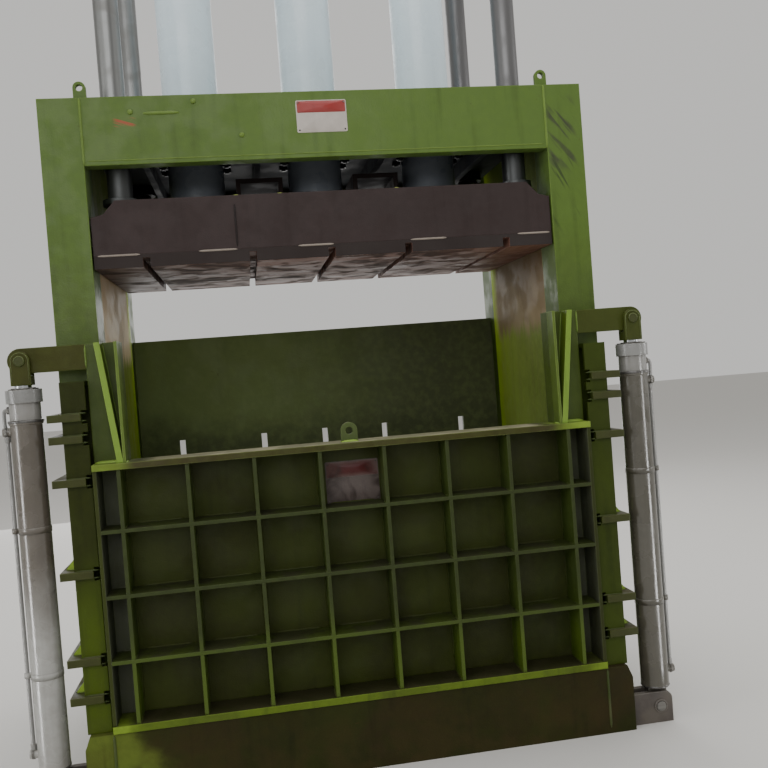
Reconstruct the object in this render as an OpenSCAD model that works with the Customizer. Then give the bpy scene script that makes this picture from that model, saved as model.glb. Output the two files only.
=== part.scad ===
// Vertical recycling baler: a welded gate frame with a pressing platen driven by three
// hydraulic cylinders, and a ribbed front gate raised by two smaller cylinders.
// Millimetres, +Z up, front towards -Y, standing on Z = 0 with the origin under its middle.
// Inside this file Y is measured from the front plane of the gate, and placed() moves it.

/* [Frame] */
// Width across the outer faces of the posts
frame_w = 2000; // [1900:20:2300]
// Depth from the front face of the front posts to the rear face of the rear posts
frame_d = 1047; // [1000:10:1300]
// Height of the top of the beams above the ground
frame_h = 2456; // [2440:10:2700]
// Width of a post seen from the front
post_w = 145; // [120:5:160]
// Depth of a post from front to back
post_d = 150; // [120:10:180]
// Thickness of the walls of a post
post_t = 16; // [10:2:24]
// Thickness of a side wall plate
side_t = 20; // [12:2:30]
// Height of the base beams
base_h = 245; // [220:5:280]
// Thickness of the plates of the base beams
base_t = 20; // [12:2:30]
// Chamfer across the upper corners of the front base beam
base_chamfer = [18, 45]; // [10:1:60]
// Step of the front base beam's ends inside the outer faces of the posts
base_inset = 12; // [0:1:20]

/* [Top] */
// Height of the two top beams
beam_h = 241; // [220:5:260]
// Thickness of the web of a top beam
beam_t = 25; // [16:1:30]
// Thickness of the flanges of a top beam
beam_flange_t = 18; // [10:1:25]
// Reach of the flanges of a top beam behind its face
beam_flange_d = 62; // [45:1:64]
// Thickness of the deck that carries the main cylinders
deck_t = 40; // [25:5:50]
// Height of the deck's underside above the lower edge of the beams
deck_rise = 92; // [80:2:100]
// Thickness of the ribs under the deck
deck_rib_t = 25; // [15:1:30]
// Clear height under the ribs, from the lower edge of the beams
deck_rib_clear = 30; // [20:1:40]
// Width of a lifting lug
lug_w = 44; // [40:2:60]
// Height of a lifting lug
lug_h = 64; // [56:2:80]
// Thickness of a lifting lug
lug_t = 20; // [12:1:24]
// Radius of the hole in a lifting lug
lug_hole_r = 12; // [8:1:14]

/* [Chamber] */
// Height of the top of the back wall above the ground
back_h = 1626; // [1500:10:1700]
// Thickness of the back wall plate
back_t = 25; // [16:1:30]
// Height of the tops of the strapping slots in the back wall above the ground
back_slot_top = 1157; // [900:10:1300]
// Depth of the ribs behind the back wall
back_rib_d = 60; // [40:5:70]
// Thickness of the ribs behind the back wall
back_rib_t = 20; // [12:1:25]
// Thickness of the chamber floor with its wear bars
floor_t = 34; // [26:1:40]
// Height of the wear bars, between which the strapping slots run
floor_slot_d = 22; // [12:1:24]
// Width of every strapping slot
slot_w = 26; // [16:1:32]
// Distance from the middle of the inner pair of strapping slots
slot_in = 289; // [270:1:310]
// Distance from the middle of the outer pair of strapping slots
slot_out = 668; // [640:1:690]

/* [Side ribs] */
// Heights of the ribs above the ground
rib_heights = [366, 497, 795, 1112, 1260, 1335];
// Number of the lowest ribs that carry a gusset
gusset_count = 3; // [1:1:6]
// Thickness of a side rib
rib_t = 26; // [14:1:30]
// Reach of a side rib beyond the post, or beyond the guide channel where that is wider
rib_out = 26; // [14:1:34]
// How far a rib stands in front of the guide channel's face
rib_proud = 15; // [6:1:20]
// Setback of a rib's inner end from the guide channel's edge
rib_back = 18; // [8:1:30]
// Height of the gussets on the lower ribs
gusset_h = 46; // [30:2:80]
// Thickness of a gusset
gusset_t = 14; // [8:1:20]

/* [Guide channels] */
// Width of the face of a guide channel
guide_w = 83; // [70:1:90]
// Gap between the top of a guide channel and the lift arm above it
guide_gap = 40.3; // [20:0.1:90]
// Distance of a guide channel's face behind the gate's front plane
guide_face_y = 25; // [15:1:35]
// Thickness of the plates of a guide channel
guide_t = 16; // [10:1:18]
// Height of the notch in a guide channel's face at each rib
notch_h = 46; // [36:2:70]

/* [Gate] */
// Width of the gate across its side plates
gate_w = 1782; // [1760:2:1800]
// Height of the gate from its foot to the top plate
gate_h = 923; // [900:5:950]
// Depth of the gate from the rib edges to the back of the skin
gate_d = 132; // [110:2:150]
// Running gap between the gate and the posts
gate_gap = 6; // [3:1:12]
// Thickness of the gate's skin
skin_t = 16; // [10:1:20]
// Thickness of the ribs and side plates of the gate
grid_t = 13; // [8:1:16]
// Pitch of the vertical ribs
cell_w = 230; // [220:1:234]
// Least width of the cells beside the gate's side plates
end_cell = 60; // [40:2:72]
// Height of the lowest cells, from the foot plate to the first cross rib
first_row = 215; // [180:5:230]
// Pitch of the cross ribs
row_pitch = 225; // [200:1:230]
// Number of cross ribs
cross_count = 3; // [1:1:3]
// Thickness of the gate's top plate
top_plate_t = 22; // [12:1:26]
// Thickness of the gate's foot plate
foot_plate_t = 25; // [16:1:30]
// How far the top and foot plates stand in front of the ribs
plate_proud = 6; // [2:1:12]
// Height of the ears above the gate's top plate
ear_h = 416; // [400:2:480]
// Width of an ear
ear_w = 115; // [100:1:125]
// Thickness of an ear's face plate and return
ear_t = 14; // [8:1:20]
// Distance of an ear's face behind the gate's front plane
ear_face_y = 60; // [40:2:80]
// Thickness of the slanted rib on an ear's face
ear_rib_t = 20; // [12:1:22]
// Thickness of the upright rib along an ear's inner edge
ear_edge_t = 10; // [6:1:14]
// Outward run of the slanted rib on an ear
ear_slant = 47; // [30:1:56]
// Reach of the skin's tongues beyond the side plates, into the guide channels
tongue_w = 34; // [20:1:44]
// Width of the lifting eye on the gate
eye_w = 60; // [50:2:80]
// Height of the lifting eye on the gate
eye_h = 70; // [60:2:90]
// Radius of the hole in the lifting eye
eye_hole_r = 13; // [10:1:18]

/* [Gate lift] */
// Gap between the ends of the side ribs and a lift cylinder
lift_gap = 27; // [20:1:50]
// Outer radius of a lift cylinder
lift_r = 53; // [48:0.5:60]
// Wall thickness of a lift cylinder
lift_wall = 12; // [8:1:14]
// Height of the lower end of a lift cylinder above the ground
lift_foot_z = 133; // [128:1:150]
// Radius of a lift rod
lift_rod_r = 28; // [20:1:32]
// Travel of the gate
lift_stroke = 1000; // [800:10:1020]
// Radius of the head cap of a lift cylinder
head_r = 60; // [58:1:62]
// Height of the head cap of a lift cylinder
head_h = 46; // [30:1:60]
// Depth of a lift arm
arm_h = 87; // [80:1:96]
// Thickness of a lift arm
arm_t = 24; // [16:1:30]
// Height of the neck between the head cap and the weld ring of a lift cylinder
neck_h = 62; // [40:2:80]
// Width of the clevis on a lift rod
clevis_w = 66; // [60:1:76]
// Thickness of one cheek of the clevis
cheek_t = 16; // [10:1:20]
// Radius of the clevis pins and of the foot pins
pin_r = 18; // [12:1:22]
// Reach of a pin's ends beyond the cheeks
pin_proud = 6; // [3:1:8]
// Reach of a foot bracket beyond the axis of its lift cylinder
bracket_over = 47; // [40:1:60]
// Height of a foot bracket
bracket_h = 117; // [110:1:122]
// Height of the foot pin above the ground
foot_pin_z = 62; // [58:1:70]
// Depth of the eye at the foot of a lift cylinder
foot_eye_d = 36; // [30:2:50]
// Radius of the oil pipe beside a lift cylinder
pipe_r = 7; // [5:0.5:9]

/* [Platen] */
// Depth of the raised platen's underside below the top of the frame
platen_drop = 607; // [600:1:640]
// Travel of the platen
platen_stroke = 1050; // [800:10:1100]
// Gap between the platen and a side wall
platen_gap = 5; // [3:1:12]
// Gap between the gate's back and the platen's front edge
platen_front_gap = 14; // [10:1:30]
// Gap between the platen's rear edge and the back wall
platen_back_gap = 60; // [40:2:80]
// Thickness of the platen's pressing plate
press_t = 46; // [40:1:50]
// Depth of the strapping slots in the pressing plate
press_slot_d = 34; // [20:1:38]
// Height of the platen's box above the pressing plate
box_h = 196; // [180:2:200]
// Thickness of the platen's skirt plates and ribs
box_t = 18; // [12:1:24]
// Thickness of the platen's top plate
box_top_t = 25; // [16:1:30]
// Width and height of the slanted upper corner of the platen
corner_cut = [44, 48]; // [30:1:60]
// Width and drop of the shoulder beside the slanted corner
corner_step = [43, 10]; // [4:1:60]
// Distance of the two stiffeners on the platen from its middle
stiff_x = 237; // [220:1:244]
// Width of a stiffener
stiff_w = 187; // [160:1:190]
// Height of a stiffener
stiff_h = 132; // [100:1:135]
// Length of a stiffener from front to back
stiff_d = 260; // [200:5:300]

/* [Main cylinders] */
// Distance between neighbouring main cylinders
main_pitch = 488; // [470:1:500]
// Distance of the main cylinders behind the gate's front plane
main_y = 615; // [600:5:640]
// Outer radius of a main cylinder
main_r = 112.5; // [105:0.5:120]
// Wall thickness of a main cylinder
main_wall = 22; // [14:1:26]
// Radius of a main rod
rod_r = 70; // [50:1:75]
// Thickness of the flange at the foot of a main rod
rod_flange_t = 22; // [16:1:26]
// Length of the gland inside a main cylinder
gland_l = 80; // [50:5:100]
// Thickness of the gland's collar
gland_collar_t = 12; // [8:1:16]
// Thickness of a main piston
piston_t = 80; // [50:5:100]
// Radius of the flange on a main cylinder
main_flange_r = 160; // [155:1:165]
// Thickness of the flange on a main cylinder
main_flange_t = 40; // [25:1:45]
// Number of bolts in a flange
bolt_count = 8; // [6:1:10]
// Radius of a flange bolt's shank
bolt_r = 10; // [6:1:11]
// Distance of the guide columns from the middle
guide_x = 753; // [740:1:760]
// Distance of the front guide columns behind the gate's front plane
guide_front_y = 257; // [255:1:270]
// Distance of the rear guide columns behind the gate's front plane
guide_rear_y = 961; // [930:1:965]
// Radius of a guide column
guide_r = 45; // [35:1:48]
// Wall thickness of a guide bush
bush_t = 20; // [12:1:24]
// Height of a guide bush
bush_h = 150; // [100:5:160]

/* [Clearances] */
// Running clearance of a shaft in its bore, all round
run_gap = 0.08; // [0.05:0.01:0.1]
// Clearance between pieces that are welded or stand on each other
seat_gap = 0.3; // [0.1:0.1:0.5]
// Clearance between the gate's tongue and the strip that holds it in
lip_gap = 4; // [2:0.5:6]
// Clearance between the gate's side plate and a guide channel
edge_gap = 6; // [3:1:10]
// Clearance between a fork's cheek and what turns in it
fork_gap = 1.5; // [1:0.5:3]

/* [Hidden] */
$fn = 48;

// Paints, as the photograph shows them
paint_green = [0.38, 0.50, 0.22];
dark_green = [0.20, 0.26, 0.14];
edge_green = [0.50, 0.62, 0.22];
stained_base = [0.24, 0.25, 0.15];
platen_brown = [0.26, 0.22, 0.20];
worn_steel = [0.58, 0.55, 0.52];
barrel_blue = [0.76, 0.82, 0.84];
steel_grey = [0.52, 0.52, 0.52];
cylinder_grey = [0.49, 0.47, 0.46];

// Outer and inner faces of the frame
frame_x = frame_w / 2;
inner_x = frame_x - post_w;
frame_y = gate_d + gate_gap;
rear_y = frame_y + frame_d;
base_x = frame_x - base_inset;
foot_pin_reach = foot_eye_d / 2 + fork_gap + base_t + pin_proud;
lift_y = ear_face_y + arm_t / 2;
front_most_y = min(-plate_proud, lift_y - max(foot_pin_reach, head_r));
mid_y = (rear_y + front_most_y) / 2;

// Levels of the frame
floor_z = base_h + floor_t;
beam_z = frame_h - beam_h;
deck_z = beam_z + deck_rise;
deck_top = deck_z + deck_t;
back_y = rear_y - back_rib_d - back_t;
slots = [-slot_out, -slot_in, 0, slot_in, slot_out];

// Levels and planes of the gate
gate_x = gate_w / 2;
gate_z = base_h + seat_gap;
gate_top = gate_z + gate_h;
grid_z = gate_z + foot_plate_t;
grid_top = gate_top - top_plate_t;
skin_y = gate_d - skin_t;
ear_top = gate_top + ear_h;
ear_in = gate_x - ear_w;
inner_w = gate_w - 2 * grid_t;
upright_count = 1 + floor((inner_w - 2 * end_cell) / cell_w);
upright_xs = [for (i = [0 : upright_count - 1]) (i - (upright_count - 1) / 2) * cell_w];
cross_zs = [for (i = [0 : cross_count - 1]) grid_z + first_row + i * row_pitch];

// Edges of the guide channels and of the ribs round them
guide_in = gate_x + edge_gap;
guide_out = guide_in + guide_w;
strip_y = skin_y - lip_gap - guide_t;
rib_end = max(guide_out, frame_x) + rib_out;

// Levels of the gate lift
lift_x = rib_end + lift_gap + lift_r;
arm_z = ear_top - arm_h / 2;
guide_h = ear_top - arm_h - guide_gap;
bracket_end = lift_x + bracket_over;
clevis_z = arm_z - arm_h / 2 - 40;
lift_top = clevis_z - 14;
barrel_top = lift_top - head_h;
lift_bore = lift_r - lift_wall;
lift_plug = 60;
lift_piston_t = 60;
lift_piston_z = lift_foot_z + 45;
port_w = 30;
pipe_x = lift_x + lift_r + 1.5 * pipe_r + 2;
port_reach = 3 * pipe_r + 4;
low_port_z = lift_foot_z + 55;
high_port_z = barrel_top - neck_h - 34;

// Levels of the platen and its cylinders
platen_z = frame_h - platen_drop;
platen_x = inner_x - platen_gap;
platen_y = gate_d + platen_front_gap;
platen_d = back_y - platen_back_gap - platen_y;
box_z = platen_z + press_t;
platen_top = box_z + box_h;
main_bore = main_r - main_wall;
bolt_head = 1.3 * bolt_r;
gland_z = platen_top + rod_flange_t + bolt_head + 6;
main_z = gland_z + gland_collar_t;
piston_z = main_z + gland_l + platen_stroke + 40;
main_top = piston_z + piston_t + 90;
bush_z = deck_z - 40;
guide_top = bush_z + bush_h + platen_stroke + 70;
flange_pcd = (main_r + main_flange_r) / 2;
rod_pcd = rod_r + 2.2 * bolt_r;
rod_flange_r = rod_pcd + 2 * bolt_r;
nut_x = main_pitch + flange_pcd * cos(180 / bolt_count) + 2 * bolt_r;
deck_rib_xs = [main_pitch / 2, (nut_x + guide_x - guide_r - bush_t) / 2];
main_xs = [-main_pitch, 0, main_pitch];

// Moves a piece from the gate's front plane to the middle of the machine's depth
module placed() {
    translate([0, -mid_y, 0]) children();
}

// A block between two corners
module block(low, high) {
    translate(low) cube(high - low);
}

// The same piece on the left and on the right
module both_sides() {
    children();
    mirror([1, 0, 0]) children();
}

// A flat plate standing across the machine, drawn in X and Z, from y to y + t
module upright_plate(y, t) {
    translate([0, y + t, 0]) rotate([90, 0, 0]) linear_extrude(t) children();
}

// A ring or tube standing on z
module ring(r_out, r_in, z, h) {
    translate([0, 0, z]) difference() {
        cylinder(r = r_out, h = h);
        translate([0, 0, -1]) cylinder(r = r_in, h = h + 2);
    }
}

// A hole of a radius through y, drilled along Y
module cross_hole(x, z, r, reach) {
    translate([x, reach, z]) rotate([90, 0, 0]) cylinder(r = r, h = 2 * reach);
}

// Points spaced evenly on a circle
module around(count, r) {
    for (i = [0 : count - 1])
        rotate([0, 0, (i + 0.5) * 360 / count]) translate([r, 0, 0]) children();
}

// A plate with a round top and a hole, standing on z
module lug_outline(w, h, hole_r, z) {
    difference() {
        union() {
            translate([-w / 2, z]) square([w, h - w / 2]);
            translate([0, z + h - w / 2]) circle(r = w / 2);
        }
        translate([0, z + h - w / 2]) circle(r = hole_r);
    }
}

// Base

module base_front_beam() {
    color(stained_base) placed() difference() {
        upright_plate(0, frame_y + post_d) polygon([
            [-base_x, 0], [base_x, 0],
            [base_x, base_h - base_chamfer[1]], [base_x - base_chamfer[0], base_h],
            [-base_x + base_chamfer[0], base_h], [-base_x, base_h - base_chamfer[1]]
        ]);
        block([-base_x + 2 * base_t, base_t, -1],
              [base_x - 2 * base_t, frame_y + post_d - base_t, base_h - base_t]);
    }
}

module base_rear_beam() {
    color(paint_green) placed() difference() {
        block([-frame_x, rear_y - post_d, 0], [frame_x, rear_y, base_h]);
        block([-frame_x + base_t, rear_y - post_d + base_t, -1],
              [frame_x - base_t, rear_y - base_t, base_h - base_t]);
    }
}

module base_side_beams() {
    color(paint_green) placed() both_sides() difference() {
        block([inner_x, frame_y + post_d, 0], [frame_x, rear_y - post_d, base_h]);
        block([inner_x + base_t, frame_y + post_d - 1, -1],
              [frame_x - base_t, rear_y - post_d + 1, base_h - base_t]);
    }
}

module base_stringers() {
    color(paint_green) placed() for (x = [-slot_in, slot_in])
        difference() {
            block([x - post_w / 2, frame_y + post_d, 0], [x + post_w / 2, rear_y - post_d, base_h]);
            block([x - post_w / 2 + base_t, frame_y + post_d - 1, base_t],
                  [x + post_w / 2 - base_t, rear_y - post_d + 1, base_h - base_t]);
        }
}

module chamber_floor() {
    color(dark_green) placed()
        block([-inner_x, frame_y, base_h], [inner_x, back_y, floor_z - floor_slot_d]);
}

// Wear bars across the floor, with the strapping slots left open between them
module floor_wear_bars() {
    color(worn_steel) placed() difference() {
        block([-inner_x, frame_y, floor_z - floor_slot_d], [inner_x, back_y, floor_z]);
        for (x = slots)
            block([x - slot_w / 2, frame_y - 1, base_h],
                  [x + slot_w / 2, back_y + 1, floor_z + 1]);
    }
}

// Posts, walls and their ribs

module post(y) {
    difference() {
        block([inner_x, y, base_h], [frame_x, y + post_d, frame_h]);
        block([inner_x + post_t, y + post_t, base_h - 1],
              [frame_x - post_t, y + post_d - post_t, frame_h - post_t]);
    }
}

module left_front_post() {
    color(paint_green) placed() mirror([1, 0, 0]) post(frame_y);
}

module right_front_post() {
    color(paint_green) placed() post(frame_y);
}

module left_rear_post() {
    color(paint_green) placed() mirror([1, 0, 0]) post(rear_y - post_d);
}

module right_rear_post() {
    color(paint_green) placed() post(rear_y - post_d);
}

module side_wall() {
    block([inner_x, frame_y + post_d, base_h], [inner_x + side_t, rear_y - post_d, frame_h]);
}

module left_side_wall() {
    color(paint_green) placed() mirror([1, 0, 0]) side_wall();
}

module right_side_wall() {
    color(paint_green) placed() side_wall();
}

// A rib runs round the guide channel and the posts and fills in to the wall between them
module side_ribs() {
    for (i = [0 : len(rib_heights) - 1]) {
        z = rib_heights[i];
        top = z + rib_t / 2;
        translate([0, 0, z - rib_t / 2]) linear_extrude(rib_t) union() {
            polygon([
                [guide_in + rib_back, guide_face_y - rib_proud], [rib_end, guide_face_y - rib_proud],
                [rib_end, rear_y], [frame_x, rear_y], [frame_x, frame_y], [guide_out, frame_y],
                [guide_out, guide_face_y], [guide_in + rib_back, guide_face_y]
            ]);
            translate([inner_x + side_t, frame_y + post_d])
                square([frame_x - inner_x - side_t + 1, frame_d - 2 * post_d]);
        }
        if (i < gusset_count) {
            rib_gusset(guide_out, (guide_face_y + frame_y) / 2, top);
            rib_gusset(frame_x, rear_y - post_d / 2, top);
        }
    }
}

// A triangle on top of a rib, against what stands inside it
module rib_gusset(x, y, z) {
    upright_plate(y - gusset_t / 2, gusset_t)
        polygon([[x, z - 1], [rib_end - rib_proud / 2, z - 1], [x, z + gusset_h]]);
}

module left_side_ribs() {
    color(paint_green) placed() mirror([1, 0, 0]) side_ribs();
}

module right_side_ribs() {
    color(paint_green) placed() side_ribs();
}

// A channel in front of the post: the gate's tongue runs between its strip and the post
module gate_keepers() {
    difference() {
        union() {
            block([guide_in, guide_face_y, base_h], [guide_out, guide_face_y + guide_t, guide_h]);
            block([guide_out - guide_t, guide_face_y, base_h], [guide_out, frame_y, guide_h]);
            block([guide_in, strip_y, base_h], [guide_out, strip_y + guide_t, guide_h]);
            block([guide_in, guide_face_y, guide_h - guide_t],
                  [guide_out, strip_y + guide_t, guide_h]);
        }
        for (z = rib_heights)
            block([guide_in - 1, guide_face_y - 1, z - notch_h / 2],
                  [guide_in + rib_back, guide_face_y + guide_t + 1, z + notch_h / 2]);
    }
}

module left_gate_keepers() {
    color(edge_green) placed() mirror([1, 0, 0]) gate_keepers();
}

module right_gate_keepers() {
    color(edge_green) placed() gate_keepers();
}

module back_wall() {
    color(dark_green) placed() difference() {
        block([-inner_x, back_y, base_h], [inner_x, back_y + back_t, back_h]);
        for (x = slots)
            block([x - slot_w / 2, back_y - 1, base_h - 1],
                  [x + slot_w / 2, back_y + back_t + 1, back_slot_top]);
    }
}

// Uprights between the slots, under one rail along the top of the wall
module back_wall_ribs() {
    color(paint_green) placed() {
        for (x = [-inner_x + back_rib_t / 2, -(slot_in + slot_out) / 2, -slot_in / 2,
                  slot_in / 2, (slot_in + slot_out) / 2, inner_x - back_rib_t / 2])
            block([x - back_rib_t / 2, back_y + back_t, base_h],
                  [x + back_rib_t / 2, rear_y, back_h - back_rib_t + 1]);
        block([-inner_x, back_y + back_t, back_h - back_rib_t], [inner_x, rear_y, back_h]);
    }
}

// Top beams, deck and lugs

// A channel beam with its web at y and its flanges towards the inside of the machine
module top_beam() {
    block([-inner_x, 0, beam_z], [inner_x, beam_t, frame_h]);
    for (z = [beam_z, frame_h - beam_flange_t])
        block([-inner_x, beam_t - 1, z], [inner_x, beam_flange_d, z + beam_flange_t]);
}

module front_top_beam() {
    color(paint_green) placed() translate([0, frame_y, 0]) top_beam();
}

module rear_top_beam() {
    color(paint_green) placed() translate([0, rear_y, 0]) mirror([0, 1, 0]) top_beam();
}

module cylinder_deck() {
    color(paint_green) placed() difference() {
        block([-inner_x, frame_y + beam_t, deck_z], [inner_x, rear_y - beam_t, deck_top]);
        for (x = main_xs)
            translate([x, main_y, deck_z - 1]) cylinder(r = main_r + seat_gap, h = deck_t + 2);
        for (x = [-guide_x, guide_x], y = [guide_front_y, guide_rear_y])
            translate([x, y, deck_z - 1]) cylinder(r = guide_r + bush_t, h = deck_t + 2);
        for (x = main_xs)
            translate([x, main_y, deck_z - 1]) around(bolt_count, flange_pcd)
                cylinder(r = bolt_r + seat_gap, h = deck_t + 2);
    }
}

module deck_ribs() {
    color(paint_green) placed() both_sides() for (x = deck_rib_xs)
        block([x - deck_rib_t / 2, frame_y + beam_flange_d, beam_z + deck_rib_clear],
              [x + deck_rib_t / 2, rear_y - beam_flange_d, deck_z]);
}

// The lugs straddle the joint of beam and post
module lifting_lugs() {
    color(edge_green) placed() both_sides()
        for (y = [frame_y + beam_flange_d / 2, rear_y - beam_flange_d / 2])
            translate([inner_x, 0, 0]) upright_plate(y - lug_t / 2, lug_t)
                lug_outline(lug_w, lug_h, lug_hole_r, frame_h);
}

// Main cylinders

module main_barrel(x) {
    placed() translate([x, main_y, 0]) difference() {
        union() {
            translate([0, 0, main_z]) cylinder(r = main_r, h = main_top - main_z);
            translate([0, 0, main_top]) cylinder(r = main_r - 14, h = 16);
            translate([-port_w, main_r - 10, main_top - 90]) cube([2 * port_w, 40, 2 * port_w]);
        }
        translate([0, 0, main_z - 1]) cylinder(r = main_bore, h = main_top - 40 - main_z + 1);
        translate([0, main_r + 40, main_top - 90 + port_w]) rotate([90, 0, 0])
            cylinder(r = 14, h = 60);
    }
}

module left_main_barrel() {
    color(barrel_blue) main_barrel(-main_pitch);
}

module centre_main_barrel() {
    color(barrel_blue) main_barrel(0);
}

module right_main_barrel() {
    color(barrel_blue) main_barrel(main_pitch);
}

// A gland closes the lower end of each barrel and guides its rod
module main_glands() {
    color(steel_grey) placed() for (x = main_xs)
        translate([x, main_y, 0]) difference() {
            union() {
                translate([0, 0, gland_z]) cylinder(r = main_r, h = gland_collar_t);
                translate([0, 0, gland_z]) cylinder(r = main_bore - run_gap,
                                                    h = gland_collar_t + gland_l);
            }
            translate([0, 0, gland_z - 1])
                cylinder(r = rod_r + run_gap, h = gland_collar_t + gland_l + 2);
        }
}

module barrel_flanges() {
    color(barrel_blue) placed() for (x = main_xs)
        translate([x, main_y, 0]) difference() {
            ring(main_flange_r, main_r + seat_gap, deck_top, main_flange_t);
            around(bolt_count, flange_pcd)
                translate([0, 0, deck_top - 1]) cylinder(r = bolt_r + seat_gap, h = main_flange_t + 2);
        }
}

// A hexagon bolt with its head above z and its shank below
module hex_bolt(z, shank) {
    translate([0, 0, z]) cylinder(r = 1.9 * bolt_r, h = bolt_head, $fn = 6);
    translate([0, 0, z - shank]) cylinder(r = bolt_r, h = shank + 1);
}

module flange_bolts() {
    color(steel_grey) placed() for (x = main_xs)
        translate([x, main_y, 0]) around(bolt_count, flange_pcd)
            union() {
                hex_bolt(deck_top + main_flange_t, main_flange_t + deck_t + 2 * bolt_r);
                translate([0, 0, deck_z - 1.6 * bolt_r])
                    cylinder(r = 1.9 * bolt_r, h = 1.6 * bolt_r, $fn = 6);
            }
}

module guide_bushes() {
    color(steel_grey) placed() for (x = [-guide_x, guide_x], y = [guide_front_y, guide_rear_y])
        translate([x, y, 0]) difference() {
            union() {
                translate([0, 0, bush_z]) cylinder(r = guide_r + bush_t - run_gap, h = bush_h);
                translate([0, 0, deck_top]) cylinder(r = guide_r + 1.8 * bush_t, h = bush_t);
            }
            translate([0, 0, bush_z - 1]) cylinder(r = guide_r + run_gap, h = bush_h + 2);
        }
}

// Gate lift

// A tube with a weld ring under its neck, a closed foot with an eye, and two oil ports
module lift_barrel() {
    ring_top = barrel_top - neck_h;
    placed() translate([lift_x, lift_y, 0]) difference() {
        union() {
            rotate_extrude() polygon([
                [0, lift_foot_z], [lift_r - 5, lift_foot_z], [lift_r, lift_foot_z + 5],
                [lift_r, ring_top - 14], [lift_r + 4, ring_top - 10], [lift_r + 4, ring_top - 4],
                [lift_r - 1, ring_top], [lift_r - 1, barrel_top], [0, barrel_top]
            ]);
            upright_plate(-foot_eye_d / 2, foot_eye_d) union() {
                translate([0, foot_pin_z]) circle(r = 2 * pin_r);
                translate([-2 * pin_r, foot_pin_z])
                    square([4 * pin_r, lift_foot_z - foot_pin_z + 1]);
            }
            for (z = [low_port_z, high_port_z])
                translate([0, 0, z]) rotate([0, 90, 0])
                    cylinder(r = port_w / 2, h = lift_r + port_reach);
        }
        translate([0, 0, lift_foot_z + 30]) cylinder(r = lift_bore, h = barrel_top);
        cross_hole(0, foot_pin_z, pin_r + run_gap, foot_eye_d);
    }
}

module left_lift_barrel() {
    color(cylinder_grey) mirror([1, 0, 0]) lift_barrel();
}

module right_lift_barrel() {
    color(cylinder_grey) lift_barrel();
}

module lift_heads() {
    color(cylinder_grey) placed() both_sides() translate([lift_x, lift_y, 0]) difference() {
        union() {
            translate([0, 0, barrel_top]) cylinder(r = head_r, h = head_h);
            translate([0, 0, barrel_top - lift_plug])
                cylinder(r = lift_bore - run_gap, h = lift_plug + 1);
        }
        translate([0, 0, barrel_top - lift_plug - 1])
            cylinder(r = lift_rod_r + run_gap, h = head_h + lift_plug + 2);
    }
}

// A foot plate and two cheeks, welded to the end of the front base beam
module lift_brackets() {
    cheek_y = foot_eye_d / 2 + fork_gap;
    corner = bracket_h / 4;
    color(cylinder_grey) placed() both_sides() translate([0, lift_y, 0]) difference() {
        union() {
            block([base_x, -cheek_y - base_t, 0],
                  [bracket_end, cheek_y + base_t, foot_pin_z - 2 * pin_r - 2]);
            for (y = [-cheek_y - base_t, cheek_y])
                upright_plate(y, base_t) union() {
                    polygon([
                        [base_x, 0], [bracket_end, 0], [bracket_end, bracket_h - corner],
                        [bracket_end - corner, bracket_h], [base_x, bracket_h]
                    ]);
                    translate([bracket_end - corner, bracket_h - corner]) circle(r = corner);
                }
        }
        cross_hole(lift_x, foot_pin_z, pin_r + run_gap, 2 * foot_eye_d);
    }
}

module foot_pins() {
    color(steel_grey) placed() both_sides() translate([lift_x, lift_y + foot_pin_reach, foot_pin_z])
        rotate([90, 0, 0]) cylinder(r = pin_r, h = 2 * foot_pin_reach);
}

// A straight oil pipe between the two ports of each cylinder, with a nut at each end
module lift_pipes() {
    low = low_port_z + port_w / 2;
    high = high_port_z - port_w / 2;
    color(steel_grey) placed() both_sides()
        translate([pipe_x, lift_y, low]) {
            cylinder(r = pipe_r, h = high - low);
            for (z = [0, high - low - 20])
                translate([0, 0, z]) cylinder(r = 1.5 * pipe_r, h = 20, $fn = 6);
        }
}

// Platen

module pressing_plate() {
    color(worn_steel) placed() difference() {
        block([-platen_x, platen_y, platen_z], [platen_x, platen_y + platen_d, box_z]);
        for (x = slots)
            block([x - slot_w / 2, platen_y - 1, platen_z - 1],
                  [x + slot_w / 2, platen_y + platen_d + 1, platen_z + press_slot_d]);
    }
}

// Outline of the platen's box seen from the front, drawn in by an inset
module platen_outline(inset) {
    polygon([
        [-platen_x + inset, box_z], [platen_x - inset, box_z],
        [platen_x - inset, platen_top - corner_cut[1] - corner_step[1] - inset / 2],
        [platen_x - corner_step[0] - inset / 2, platen_top - corner_cut[1] - inset / 2],
        [platen_x - corner_step[0] - corner_cut[0] - inset / 2, platen_top - inset],
        [-platen_x + corner_step[0] + corner_cut[0] + inset / 2, platen_top - inset],
        [-platen_x + corner_step[0] + inset / 2, platen_top - corner_cut[1] - inset / 2],
        [-platen_x + inset, platen_top - corner_cut[1] - corner_step[1] - inset / 2]
    ]);
}

module platen_box() {
    color(platen_brown) placed() difference() {
        upright_plate(platen_y, platen_d) platen_outline(0);
        translate([0, 0, -0.01]) upright_plate(platen_y + box_t, platen_d - 2 * box_t)
            platen_outline(box_top_t);
        for (x = main_xs)
            translate([x, main_y, platen_top - box_top_t - 1]) around(bolt_count, rod_pcd)
                cylinder(r = bolt_r + seat_gap, h = box_top_t + 2);
    }
}

// Cross ribs inside the box, one under each row of columns and rods
module platen_ribs() {
    rib_top = platen_top - box_top_t - seat_gap;
    color(platen_brown) placed() both_sides() for (x = [main_pitch / 2, guide_x - guide_r - 2 * box_t])
        block([x - box_t / 2, platen_y + box_t, box_z],
              [x + box_t / 2, platen_y + platen_d - box_t, rib_top]);
}

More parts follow.
